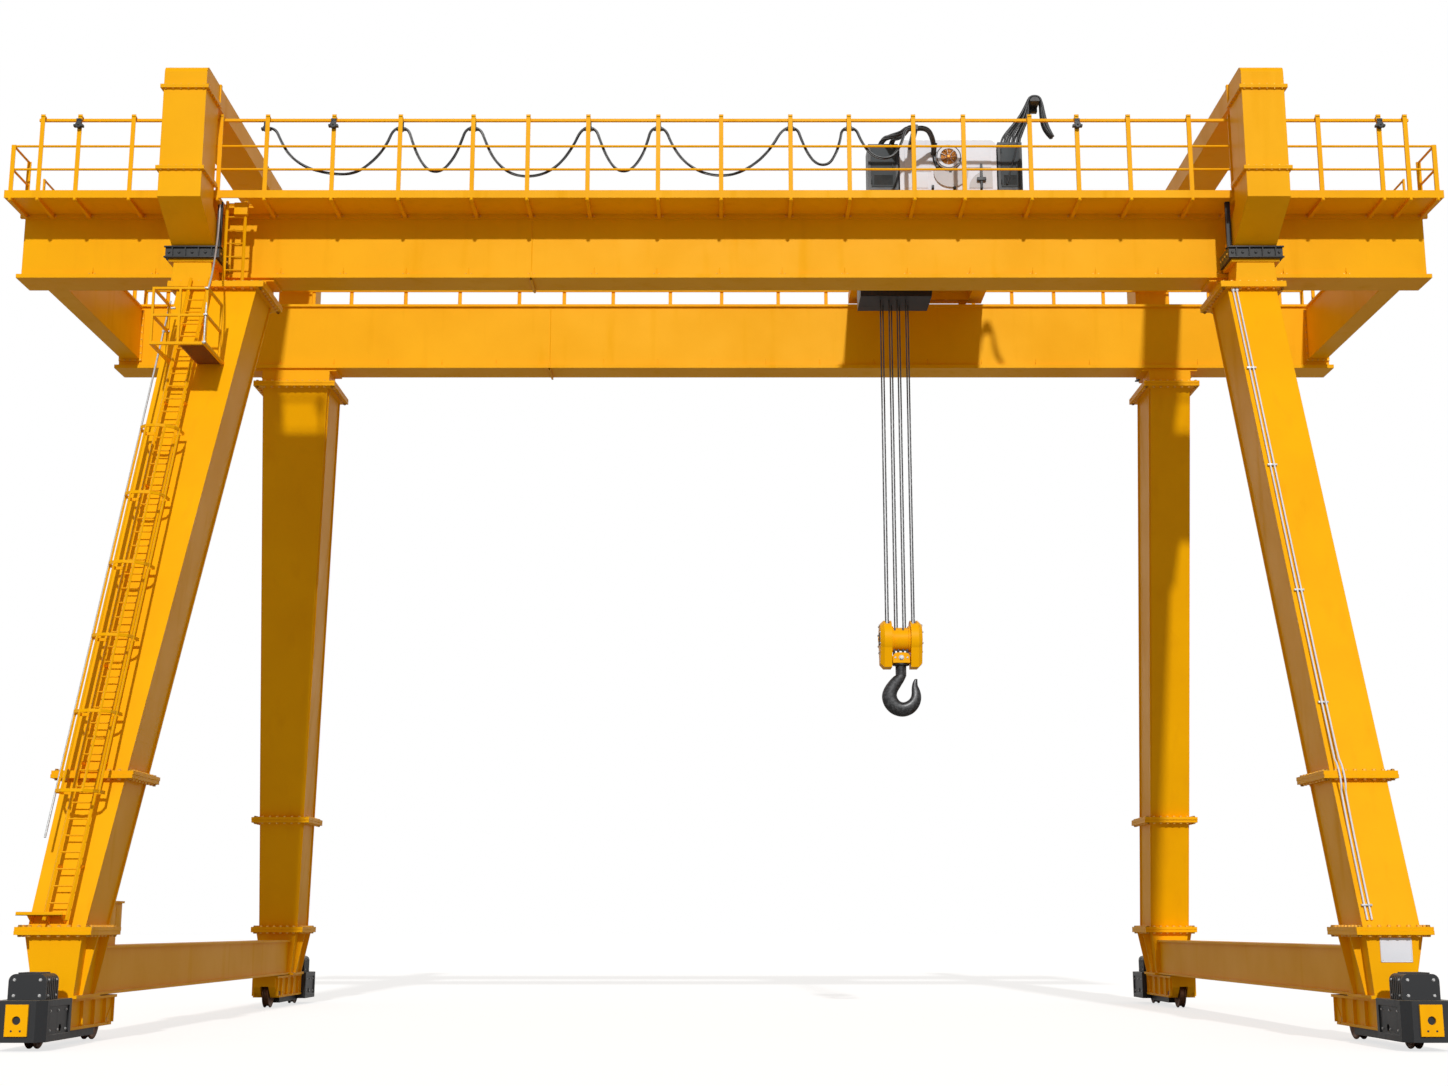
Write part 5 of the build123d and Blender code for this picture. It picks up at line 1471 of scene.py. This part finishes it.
@dataclass
class PortalTrim(SubAssembly):
    """Bolts round the portals' flanges, the pads' stiffeners, and a thin black channel beside each front
    column that is partly a bracket and partly painted shade of the dark band there.
    """

    flange_half: float = 0.48
    flange_z: tuple[float, float] = (17.62, 19.44)
    flange_t: float = 0.04
    flange_bolt: float = 0.024
    flange_row: int = 6
    side_pitch: float = 0.163
    face_pitch: float = 0.16
    pad_half: float = 0.575
    pad_y: tuple[float, float] = (3.95, 4.71)
    pad_z: tuple[float, float] = (16.06, 16.33)
    shade_upright_x: float = 10.86
    shade_upright_y: float = 4.55
    shade_upright_top: float = 17.38
    channel_half: float = 0.05
    channel_bore: float = 0.036
    channel_back: float = 0.03
    stiffeners: tuple[float, ...] = (-0.42, -0.14, 0.14, 0.42)
    face_bolts: tuple[float, ...] = (-0.5, -0.28, 0.0, 0.28, 0.5)

    def flange_bolts(self) -> None:
        """Bolt the knees, columns and beams together."""
        mesh = Mesh()
        lay = self.layout
        for side in SIDES:
            x = side * lay.portal_x
            row = range(self.flange_row)
            places = [(x + t * self.flange_half, lay.portal_in + 0.08 + self.side_pitch * i)
                      for i in row for t in SIDES]
            places += [(x + self.face_pitch * (i - (self.flange_row - 1) / 2), lay.portal_out + 0.03)
                       for i in row]
            for s in SIDES:
                for z in self.flange_z:
                    for px, py in places:
                        mesh.bolt((px, s * py, z + self.flange_t), (0, 0, 1), self.flange_bolt)
                        mesh.bolt((px, s * py, z - self.flange_t), (0, 0, -1), self.flange_bolt)
        mesh.piece("portal_bolts", Body.GANTRY, self.palette.brass)

    def pads(self) -> None:
        """Add end plates, stiffeners and bolts to the pads."""
        plates, bolts = Mesh(), Mesh()
        low, high = self.pad_z
        middle, wide = (low + high) / 2, self.pad_half + 0.02
        for side in SIDES:
            for s in SIDES:
                x, y = side * self.layout.portal_x, s * self.pad_y[1]
                near, far = sorted((y, y + s * 0.05))
                for z in (low + 0.005, high - 0.035):
                    plates.box((x - wide, near, z), (x + wide, far, z + 0.03), 0.004)
                near, far = sorted((y, y + s * 0.045))
                for t in self.stiffeners:
                    plates.box((x + t - 0.012, near, low + 0.03), (x + t + 0.012, far, high - 0.03))
                for t in self.face_bolts:
                    plates.bolt((x + t, y, middle), (0, s, 0), 0.034)
                for t in SIDES:
                    for i in range(4):
                        depth = s * (self.pad_y[0] + 0.12 + 0.17 * i)
                        bolts.bolt((x + t * self.pad_half, depth, middle), (t, 0, 0), 0.03)
        plates.piece("pad_plates", Body.GANTRY, self.palette.black)
        bolts.piece("pad_bolts", Body.GANTRY, self.palette.brass)

    def uprights(self) -> None:
        """Stand a thin black channel on each front pad, up to the walkway; it is partly a bracket and partly
        painted shade.
        """
        mesh = Mesh()
        for side in SIDES:
            x, y, low = side * self.shade_upright_x, -self.shade_upright_y, self.pad_z[1]
            half, bore, back = self.channel_half, self.channel_bore, y + self.channel_back
            leg = ((half, y - half), (half, back), (bore, back), (bore, y - bore))
            outline = [(x + a, b, low) for a, b in leg] + [(x - a, b, low) for a, b in reversed(leg)]
            mesh.prism(outline, (0, 0, self.shade_upright_top - low))
            mesh.box((x - 0.08, y - 0.08, low), (x + 0.08, y + 0.06, low + 0.015), 0.003)
        mesh.piece("pad_uprights_and_painted_shade", Body.GANTRY, self.palette.black)

    def build(self) -> None:
        """Dress both portals."""
        self.flange_bolts()
        self.pads()
        self.uprights()


@dataclass
class LegTrim(SubAssembly):
    """Two conduits and a blank plate on the right front leg, and the shelf at the ladder's foot."""

    insets: tuple[float, float] = (0.10, 0.18)
    radius: float = 0.017
    stand: float = 0.034
    over: float = 0.215
    top: float = 15.36
    foot: float = 2.16
    bend: tuple[float, float] = (0.36, 0.20)
    clamps: tuple[float, ...] = (13.46, 11.19, 8.46, 6.18, 2.42)
    cap: tuple[tuple[float, float], ...] = (
        (0, 0.022), (0.02, 0.036), (0.05, 0.040), (0.075, 0.026), (0.082, 0.0))
    plate: tuple[float, float, float, float] = (11.54, 12.10, 1.43, 1.85)
    rim: float = 0.014
    base_y: float = -9.20
    shelf_section: float = 2.2
    shelf_x: tuple[float, float] = (-0.66, 0.16)
    shelf_z: tuple[float, float] = (2.235, 2.25)
    shelf_out: float = 0.32
    brackets: tuple[float, ...] = (-0.46, -0.15, 0.13)

    def on_face(self, z: float, inset: float, out: float) -> Point:
        """Find a place on the right leg's front face.

        Args:
            z: The height.
            inset: How far it is from the face's left edge.
            out: How far it is in front of the face.

        Returns:
            The place.
        """
        x, y, w, d = self.layout.leg(1, z)
        return x - w / 2 + inset, y - d / 2 - out, z

    def conduits(self) -> None:
        """Run the conduits down the leg and round the splice's flange."""
        pipes, clamps = Mesh(), Mesh()
        splice = self.layout.leg_splice_z
        far, near = self.bend
        bends = ((self.top, self.stand), (splice + far, self.stand), (splice + near, self.over),
                 (splice - near, self.over), (splice - far, self.stand), (self.foot, self.stand))
        for inset in self.insets:
            points = [self.on_face(z, inset, out) for z, out in bends]
            pipes.tube(smooth_route("conduit", points, 6), self.radius, 10)
            x, y, z = points[0]
            pipes.turned((x, y, z - 0.01), (0, 0, 1), self.cap, 16)
        for z in self.clamps:
            x, y, _ = self.on_face(z, sum(self.insets) / 2, 0.0)
            front = y - self.stand - 0.028
            clamps.box((x - 0.095, front, z - 0.018), (x + 0.095, y + 0.02, z + 0.018), 0.004)
            clamps.bolt((x, front, z), (0, -1, 0), 0.016)
        pipes.piece("leg_conduits", Body.GANTRY, self.palette.white)
        clamps.piece("leg_conduit_clamps", Body.GANTRY, self.palette.zinc)

    def blank_plate(self) -> None:
        """Screw the blank plate to the right leg's base."""
        x0, x1, z0, z1 = self.plate
        mesh = Mesh()
        mesh.box((x0, self.base_y - 0.008, z0), (x1, self.base_y + 0.002, z1), 0.003)
        rim = self.rim
        for a, low, b, high in ((x0, z0, x1, z0 + rim), (x0, z1 - rim, x1, z1), (x0, z0, x0 + rim, z1),
                                (x1 - rim, z0, x1, z1)):
            mesh.box((a, self.base_y - 0.012, low), (b, self.base_y, high), 0.002)
        mesh.piece("base_plate_blank", Body.GANTRY, self.palette.white)
        screws = Mesh()
        for x in (x0 + 0.035, x1 - 0.035):
            for z in (z0 + 0.035, z1 - 0.035):
                screws.bolt((x, self.base_y - 0.008, z), (0, -1, 0), 0.010)
        screws.piece("base_plate_screws", Body.GANTRY, self.palette.zinc)

    def shelf(self) -> None:
        """Fix the folded shelf under the ladder's foot, with its brackets."""
        mesh = Mesh()
        x, y, _, d = self.layout.leg(-1, self.shelf_section)
        face = y - d / 2
        left, right = (x + a for a in self.shelf_x)
        under, top = self.shelf_z
        lip, root = face - self.shelf_out, face + 0.04
        mesh.box((left, lip, under), (right, face + 0.05, top), 0.003)
        mesh.box((left, lip, under), (right, lip + 0.015, under + 0.065), 0.003)
        for t in self.brackets:
            near = x + t - 0.01
            web = [(near, root, 2.24), (near, lip + 0.02, 2.24), (near, root, 2.04)]
            mesh.prism(web, (0.02, 0, 0))
        mesh.piece("ladder_foot_shelf", Body.GANTRY, self.palette.yellow)

    def build(self) -> None:
        """Dress the front legs."""
        self.conduits()
        self.blank_plate()
        self.shelf()


@dataclass
class LadderTrim(SubAssembly):
    """Cable pipes beside the ladder, the box at its head and the landing's grating."""

    pipe: float = 0.02
    landing_x: tuple[float, float] = (-10.997, -10.437)
    landing_y: tuple[float, float] = (-6.634, -5.20)
    landing_z: float = 13.56
    mesh_pitch: float = 0.055
    walkway_pipe: tuple[Point, ...] = ((-10.86, -4.62, 17.39), (-10.86, -4.62, 16.9), (-10.72, -5.2, 16.2))
    head_box: tuple[Point, Point] = ((-10.56, -4.61, 17.09), (-10.27, -4.50, 17.36))
    cage_pipe: tuple[float, float] = (-0.41, 0.30)
    cage_pipe_z: tuple[float, ...] = (14.9, 12.0, 8.0, 3.6)
    middle_at_foot: float = 0.03
    middle_drift: float = 0.35
    foot_z: float = 2.15
    ladder_high: float = 13.45
    off_leg: float = 0.26

    def grating(self) -> None:
        """Weave the landing's grating under its floor."""
        mesh = Mesh()
        x0, x1 = self.landing_x
        y0, y1 = self.landing_y
        z = self.landing_z - 0.006
        count = int((y1 - y0 + x1 - x0) / self.mesh_pitch)
        for i in range(1, count):
            c = i * self.mesh_pitch
            a, b = max(0.0, c - (y1 - y0)), min(c, x1 - x0)
            mesh.tube([(x0 + a, y0 + c - a, z), (x0 + b, y0 + c - b, z)], 0.006, 5)
            mesh.tube([(x1 - a, y0 + c - a, z), (x1 - b, y0 + c - b, z)], 0.006, 5)
        mesh.piece("landing_grating", Body.GANTRY, self.palette.bronze)

    def pipes(self) -> None:
        """Run a galvanised pipe from the walkway to the landing and one on down the cage, and add the box."""
        mesh = Mesh()
        x1, y0 = self.landing_x[1], self.landing_y[0]
        x, y = x1 - 0.03, y0 - 0.025
        route = [*self.walkway_pipe, (x, y0 + 0.3, 15.1), (x, y, 14.6), (x, y, 13.55)]
        mesh.tube(smooth_route("walkway_pipe", route, 8), self.pipe, 10)
        for z in (14.72, 14.16, 13.58):
            mesh.box((x1 - 0.065, y0 - 0.05, z - 0.015), (x1 + 0.005, y0 + 0.01, z + 0.015), 0.003)
        mesh.tube([self.beside(z, *self.cage_pipe) for z in self.cage_pipe_z], self.pipe, 10)
        for z in (14.73, 14.16):
            x, y, _ = self.beside(z, *self.cage_pipe)
            mesh.box((x - 0.025, y - 0.03, z - 0.015), (x + 0.13, y + 0.03, z + 0.015), 0.003)
        mesh.piece("ladder_pipes", Body.GANTRY, self.palette.zinc)
        head = Mesh()
        head.box(*self.head_box, 0.008)
        head.piece("ladder_head_box", Body.GANTRY, self.palette.yellow)

    def beside(self, z: float, aside: float, out: float) -> Point:
        """Find a place beside the ladder.

        Args:
            z: The height.
            aside: How far it is to the right of the ladder's middle.
            out: How far it is in front of the ladder.

        Returns:
            The place.
        """
        x, y, _, d = self.layout.leg(-1, z)
        drift = self.middle_drift * (z - self.foot_z) / self.ladder_high
        return x + self.middle_at_foot - drift + aside, y - d / 2 - self.off_leg - out, z

    def build(self) -> None:
        """Dress the ladder."""
        self.grating()
        self.pipes()


@dataclass
class BogieTrim(SubAssembly):
    """Bolts, ribs and stiffeners of the four bogies, and the switch cabinet's seams."""

    head_half: float = 0.425
    motor_half: float = 0.32
    motor_y: tuple[float, float] = (9.815, 10.435)
    motor_z: tuple[float, float] = (0.83, 1.26)
    frame_web: float = 0.28
    frame_lip: float = 0.335
    plate_y: float = 10.84
    plate_hole_shade_discs: tuple[float, float, float] = (0.075, 0.34, 0.018)
    head_bolt_y: tuple[float, ...] = (10.44, 10.05, 9.66)
    head_bolt_z: tuple[float, ...] = (0.33, 0.65)
    ribs: int = 5
    stiffener_y: tuple[float, float] = (9.40, 6.72)
    stiffener_z: tuple[float, float] = (0.305, 0.755)
    gusset: tuple[float, float] = (0.34, 0.62)
    cabinet_half: tuple[float, float] = (0.31, 0.38)
    cabinet_y: float = -6.9
    cabinet_z: tuple[float, float] = (1.92, 2.48)

    def drive(self, shine: Mesh, dark: Mesh, x: float, s: int) -> None:
        """Dress one drive head and its motor.

        Args:
            shine: The mesh of the plated bolts.
            dark: The mesh of the black parts.
            x: The bogie's place along the girders.
            s: -1 for a front bogie, 1 for a rear one.
        """
        low, high = self.motor_z
        aside, up, r = self.plate_hole_shade_discs
        for t in SIDES:
            for y in self.head_bolt_y:
                for z in self.head_bolt_z:
                    shine.bolt((x + t * self.head_half, s * y, z), (t, 0, 0), 0.024)
            for z in (low + 0.07, high - 0.10):
                shine.bolt((x + t * 0.22, s * self.motor_y[1], z), (0, s, 0), 0.028)
                for y in (self.motor_y[0] + 0.12, self.motor_y[1] - 0.12):
                    shine.bolt((x + t * self.motor_half, s * y, z), (t, 0, 0), 0.022)
            # Thin black discs on the end plate stand in for its two holes: painted shade of the holes.
            dark.turned((x + t * aside, s * self.plate_y, up), (0, s, 0), [(-0.002, r), (0.002, r)], 14)
        for i in range(self.ribs):
            y = s * (self.motor_y[0] + 0.11 + 0.10 * i)
            dark.box((x - 0.20, y - 0.012, high - 0.004), (x + 0.20, y + 0.012, high + 0.022), 0.004)

    def frame_plates(self, plain: Mesh, x: float, s: int) -> None:
        """Add the stiffeners of one bogie frame.

        Args:
            plain: The mesh of the yellow parts.
            x: The bogie's place along the girders.
            s: -1 for a front bogie, 1 for a rear one.
        """
        low, high = self.stiffener_z
        long, top = self.gusset
        for t in SIDES:
            a, b = sorted((x + t * (self.frame_web - 0.01), x + t * self.frame_lip))
            for y in self.stiffener_y:
                plain.box((a, s * y - 0.011, low), (b, s * y + 0.011, high))
            face = x + t * (self.frame_web - 0.005)
            for plate, way in zip(self.stiffener_y, (-1, 1)):
                y = plate + way * 0.02
                web = [(face, s * y, low), (face, s * (y + way * long), low), (face, s * y, top)]
                plain.prism(web, (t * 0.022, 0, 0))

    def cabinet(self) -> None:
        """Draw the switch cabinet's doors, hinges and lock."""
        plain, shine = Mesh(), Mesh()
        x, y = -self.layout.foot_x, self.cabinet_y
        w, d = self.cabinet_half
        low, high = self.cabinet_z
        for a, b in ((-w + 0.03, -0.008), (0.008, w - 0.03)):
            plain.box((x + a, y - d - 0.010, low + 0.03), (x + b, y - d + 0.004, high - 0.03), 0.004)
        for t in SIDES:
            for a, b in ((-d + 0.03, -0.008), (0.008, d - 0.03)):
                near, far = sorted((x + t * (w - 0.004), x + t * (w + 0.010)))
                plain.box((near, y + a, low + 0.03), (far, y + b, high - 0.03), 0.004)
            for z in (low + 0.10, high - 0.10):
                at = (x + t * (w - 0.03), y - d - 0.012, z - 0.035)
                shine.turned(at, (0, 0, 1), [(0, 0.011), (0.07, 0.011)], 10)
        shine.bolt((x - 0.04, y - d - 0.010, (low + high) / 2), (0, -1, 0), 0.022)
        plain.piece("cabinet_doors", Body.GANTRY, self.palette.yellow)
        shine.piece("cabinet_hinges", Body.GANTRY, self.palette.zinc)

    def build(self) -> None:
        """Dress every bogie and the cabinet."""
        shine, dark, plain = Mesh(), Mesh(), Mesh()
        for side in SIDES:
            for s in SIDES:
                x = side * self.layout.foot_x
                self.drive(shine, dark, x, s)
                self.frame_plates(plain, x, s)
        shine.piece("bogie_bolts", Body.GANTRY, self.palette.zinc)
        dark.piece("motor_ribs", Body.GANTRY, self.palette.black)
        plain.piece("bogie_stiffeners", Body.GANTRY, self.palette.yellow)
        self.cabinet()


@dataclass
class TrolleyTrim(SubAssembly):
    """The mast, doors, panels, the fan's grille and the drum's rope on the hoist trolley."""

    front: float = -3.65
    left: tuple[float, float, float] = (3.20, 3.87, 19.11)
    right: tuple[float, float, float] = (6.08, 6.62, 19.155)
    housing: tuple[float, float, float] = (3.90, 6.05, 19.20)
    bell: tuple[float, float, float] = (4.98, -3.74, 18.78)
    fan_radius: float = 0.165
    drum_z: float = 18.65
    drum_radius: float = 0.41
    drum_half: float = 1.18
    rope: float = 0.016
    rope_pitch: float = 0.042
    rope_steps: int = 28
    louvres: int = 9
    louvre_pitch: float = 0.026
    belly: tuple[float, float, float, float] = (5.03, 18.42, 0.38, 0.34)
    quarter: tuple[float, float, float] = (5.95, 0.52, 0.44)
    props: tuple[Point, ...] = ((5.70, 18.03, 18.62), (5.10, 18.03, 18.09), (4.62, 18.03, 18.12))
    hose_circle: float = 0.33
    mast_foot: tuple[float, float] = (6.55, 19.155)
    mast_head: tuple[float, float] = (6.93, 20.16)
    mast_y: float = -3.10
    mast_half: float = 0.035
    saddle: tuple[float, float, float] = (6.97, 20.19, 0.11)

    def door(self, mesh: Mesh, span: tuple[float, float, float]) -> None:
        """Fill a cabinet's sunk front with a louvred door.

        Args:
            mesh: The mesh that it goes into.
            span: The cabinet's left side, right side and top.
        """
        x0, x1, top = span
        low = self.layout.deck_z + 0.08
        face = self.front + 0.025
        mesh.box((x0 + 0.075, face - 0.012, low), (x1 - 0.075, face + 0.004, top - 0.08), 0.004)
        left, back = x0 + 0.13, face - 0.010
        for i in range(self.louvres):
            z = low + 0.06 + self.louvre_pitch * i
            slat = [(left, back, z + 0.016), (left, face - 0.026, z), (left, back, z)]
            mesh.prism(slat, (x1 - x0 - 0.26, 0, 0))
        grip = (low + top) / 2
        mesh.box((x1 - 0.14, face - 0.045, grip - 0.07), (x1 - 0.115, back, grip + 0.07), 0.006)
        for z in (low + 0.12, top - 0.20):
            mesh.turned((x0 + 0.08, face - 0.014, z - 0.05), (0, 0, 1), [(0, 0.013), (0.10, 0.013)], 10)

    def cabinets(self) -> None:
        """Hang the cabinets' doors."""
        mesh = Mesh()
        self.door(mesh, self.left)
        self.door(mesh, self.right)
        mesh.piece("trolley_cabinet_doors", Body.TROLLEY, self.palette.grey)

    def panels(self) -> None:
        """Add the housing's panels, the belly under the fan, the props and the hoses."""
        x0, x1, top = self.housing
        deck, face = self.layout.deck_z, self.front
        white, grey, dark = Mesh(), Mesh(), Mesh()
        for low, high in (((x0 + 0.10, deck + 0.43), (4.60, top - 0.17)),
                          ((x0 + 0.10, deck + 0.04), (4.52, deck + 0.39)),
                          ((5.32, deck + 0.52), (x1 - 0.12, top - 0.17))):
            white.box((low[0], face - 0.012, low[1]), (high[0], face + 0.02, high[1]), 0.006)
        x, z, wide, deep = self.belly
        turns = [math.pi * (1 + i / 14) for i in range(15)]
        outline = [(x + wide * math.cos(t), face, z + deep * math.sin(t)) for t in turns]
        grey.prism([*outline, (x + wide, face, z + 0.08), (x - wide, face, z + 0.08)], (0, -0.05, 0))
        x, wide, high = self.quarter
        foot = deck + 0.04
        arch = [(x - wide * math.cos(t), face, foot + high * math.sin(t))
                for t in (math.pi / 2 * i / 10 for i in range(11))]
        grey.prism([(x, face, foot), *arch], (0, -0.014, 0))
        for x, low, high in self.props:
            dark.box((x - 0.025, face - 0.07, low), (x + 0.025, face, high), 0.004)
        dark.box((5.60, face - 0.09, 18.22), (5.80, face - 0.02, 18.30), 0.01)
        dark.tube([(6.52, face - 0.014, 19.13), (6.47, face - 0.016, 18.9), (6.36, face - 0.016, 18.5),
                   (6.27, face - 0.014, 18.16)], 0.018, 8)
        x, _, z = self.bell
        r = self.hose_circle
        arc = [(x + r * math.cos(t), face - 0.03, z + r * math.sin(t))
               for t in (math.radians(150 + 14 * i) for i in range(12))]
        dark.tube([(4.72, face - 0.02, 19.12), *arc], 0.022, 8)
        for i in (1, 5, 9):
            dark.box([c - 0.03 for c in arc[i]], [c + 0.03 for c in arc[i]], 0.006)
        white.piece("housing_panels", Body.TROLLEY, self.palette.white)
        grey.piece("housing_belly", Body.TROLLEY, self.palette.pale)
        dark.piece("housing_fittings", Body.TROLLEY, self.palette.black)

    def fan(self) -> None:
        """Close the fan's well with a wire grille, and draw grey rings round its bell that paint the shadow
        along its rim.
        """
        mesh = Mesh()
        x, y, z = self.bell
        for r in (0.05, 0.09, 0.13, self.fan_radius):
            ring = [(x + r * math.cos(t), y, z + r * math.sin(t))
                    for t in (math.pi * i / 16 for i in range(33))]
            mesh.tube(ring, 0.007, 6)
        for i in range(12):
            t = math.pi * i / 6
            mesh.tube([(x + 0.03 * math.cos(t), y + 0.004, z + 0.03 * math.sin(t)),
                       (x + 0.19 * math.cos(t), y + 0.004, z + 0.19 * math.sin(t))], 0.006, 6)
        mesh.turned((x, y + 0.012, z), (0, -1, 0), [(0, 0.045), (0.018, 0.045), (0.024, 0.03)], 20)
        mesh.turned((x, y + 0.045, z), (0, -1, 0), [(0, 0.17), (0.015, 0.165)], 28)
        # Grey rings: painted shadow edge round the bell's rim.
        rim = Mesh()
        for r, back in ((0.283, 0.085), (0.262, 0.0)):
            ring = [(x + r * math.cos(t), y + back, z + r * math.sin(t))
                    for t in (math.pi * i / 24 for i in range(49))]
            rim.tube(ring, 0.010, 6)
        rim.piece("fan_bell_painted_shadow_rings", Body.TROLLEY, self.palette.grey)
        mesh.piece("fan_grille", Body.TROLLEY, self.palette.bronze)

    def drum_rope(self) -> None:
        """Wind the rope on the drum, from both ends towards the middle."""
        mesh = Mesh()
        r = self.drum_radius + self.rope * 0.9
        turns = int((self.drum_half - 0.12) / self.rope_pitch)
        for s in SIDES:
            path = []
            for i in range(turns * self.rope_steps + 1):
                a = 2 * math.pi * i / self.rope_steps
                y = s * (self.drum_half - self.rope_pitch * i / self.rope_steps)
                path.append((self.layout.rope_x + r * math.cos(a), y, self.drum_z + r * math.sin(a)))
            mesh.tube(path, self.rope, 6)
        mesh.piece("drum_rope", Body.TROLLEY, self.palette.rope)

    def mast(self) -> None:
        """Build the mast as a leaning strut with a foot plate, an arm and a round saddle."""
        mesh = Mesh()
        y, h = self.mast_y, self.mast_half
        ring = ((-h, -h), (h, -h), (h, h), (-h, h))
        ends = (self.mast_foot, self.mast_head)
        mesh.rings([[Vector((x + a, y + b, z)) for a, b in ring] for x, z in ends])
        x, z = self.mast_foot
        mesh.box((x - 0.07, y - 0.07, z), (x + 0.07, y + 0.07, z + 0.02), 0.003)
        x, z, r = self.saddle
        mesh.box((x - r, y - 0.06, z - 0.09), (x + r, y + 0.07, z), 0.008)
        turns = [math.pi * i / 12 for i in range(13)]
        mesh.prism([(x + r * math.cos(t), y - 0.43, z + r * math.sin(t)) for t in turns], (0, 0.50, 0))
        mesh.piece("leaning_cable_mast", Body.TROLLEY, self.palette.black, ["cable_mast"])

    def build(self) -> None:
        """Dress the trolley."""
        self.mast()
        self.cabinets()
        self.panels()
        self.fan()
        self.drum_rope()


@dataclass
class TowCables(SubAssembly):
    """The cable bundles that lead from the tow arm to the trolley."""

    diameter: float = 0.12
    strands: int = 5
    strand_radius: float = 0.024
    spread: float = 0.036
    lay_length: float = 2.4
    routes: tuple[tuple[Point, ...], ...] = (
        ((4.09, -4.60, 19.06), (4.00, -4.56, 19.09), (3.86, -4.30, 19.08), (3.70, -4.00, 19.14),
         (3.58, -3.72, 19.22), (3.50, -3.50, 19.20), (3.48, -3.42, 19.11)),
        ((4.09, -4.68, 19.05), (4.02, -4.66, 19.07), (3.93, -4.40, 19.02), (3.84, -4.05, 19.08),
         (3.78, -3.78, 19.20), (3.74, -3.56, 19.20), (3.73, -3.48, 19.11)),
        ((4.20, -4.60, 19.06), (4.30, -4.58, 19.09), (4.46, -4.40, 19.12), (4.58, -4.12, 19.08),
         (4.64, -3.86, 18.96), (4.66, -3.66, 18.86)))

    def build(self) -> None:
        """Lay the bundles."""
        for label, route in zip(("left", "middle", "right"), self.routes):
            line = smooth_route(f"tow_route_{label}", route, 8)
            mesh = Mesh()
            bundle(mesh, line, self.strands, self.spread, self.strand_radius, self.lay_length)
            piece = mesh.piece(f"tow_cables_{label}", Body.TROLLEY, self.palette.cable)
            length_of(line)


@dataclass
class HookBlockTrim(SubAssembly):
    """Bolts on the hook block, the bosses and lugs inside it, and thin black discs that paint the shade in
    the gaps beside the cover.
    """

    cheek: float = 0.48
    sheave_z: float = 8.53
    bolts: int = 8
    bolt_circle: float = 0.33
    bolt_turn: float = 0.4
    trunnion_front: float = 0.21
    trunnion_z: float = 8.08
    boss: tuple[tuple[float, float], ...] = ((-0.004, 0.15), (0.010, 0.15), (0.014, 0.14))
    gap_shade_disc_x: float = 0.222
    gap_shade_disc: tuple[tuple[float, float], ...] = ((-0.012, 0.273), (0.010, 0.273))
    lugs: tuple[float, float] = (0.055, 0.15)

    def build(self) -> None:
        """Add the bolts of the cheeks and the trunnion, then the dark parts."""
        mesh = Mesh()
        x = self.layout.rope_x
        for s in SIDES:
            for i in range(self.bolts):
                a = 2 * math.pi * i / self.bolts + self.bolt_turn
                y, z = self.bolt_circle * math.cos(a), self.sheave_z + self.bolt_circle * math.sin(a)
                mesh.bolt((x + s * self.cheek, y, z), (s, 0, 0), 0.026)
            y, z = s * self.trunnion_front, self.trunnion_z
            mesh.bolt((x, y, z), (0, s, 0), 0.06)
            for t in SIDES:
                mesh.bolt((x + t * 0.14, y, z), (0, s, 0), 0.022)
        mesh.piece("hook_block_bolts", Body.HOOK_BLOCK, self.palette.zinc)
        dark = Mesh()
        for s in SIDES:
            dark.turned((x + s * self.cheek, 0, self.sheave_z), (s, 0, 0), self.boss, 32)
            # Thin black discs at the guards' joints: painted shade in the gaps.
            dark.turned((x + s * self.gap_shade_disc_x, 0, self.sheave_z), (s, 0, 0), self.gap_shade_disc, 40)
            for lug in (x + s * t for t in self.lugs):
                dark.box((lug - 0.02, -0.11, 8.18), (lug + 0.02, 0.11, 8.30), 0.006)
        dark.piece("hook_block_inner", Body.HOOK_BLOCK, self.palette.black)


def paint_nodes(palette: Palette) -> None:
    """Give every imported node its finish.

    Args:
        palette: The finishes.
    """
    special = {"walkways": palette.tread, "end_walkways": palette.tread}
    plain = (palette.yellow, palette.black, palette.white, palette.rail, palette.wheel, palette.cable,
             palette.rope, palette.hook)
    by_slot = {coating.slot: coating for coating in plain}
    for row in frame["record"]["subparts"]:
        coating = special.get(row["node"], by_slot[Slot(row["material_slot"])])
        mesh = frame["nodes"][row["node"]].data
        mesh.materials.clear()
        mesh.materials.append(coating.material)


def main() -> None:
    """Build the crane's looks in order."""
    logging.basicConfig(level=logging.INFO, format="%(message)s")
    layout = Layout()
    Studio().build()
    palette = Palette()
    for kind in (Festoon, MastBundle, TowCables, HoistRopes, Hook, HookBlockTrim, TravelWheels, BogieTrim,
                 LegFlanges, LegTrim, LadderTrim, PortalTrim, GirderTrim, WalkwayTrim, Railings, TrolleyTrim):
        kind(palette, layout).build()
        LOG.info("%s done", kind.__name__)
    paint_nodes(palette)


if __name__ == "__main__":
    main()
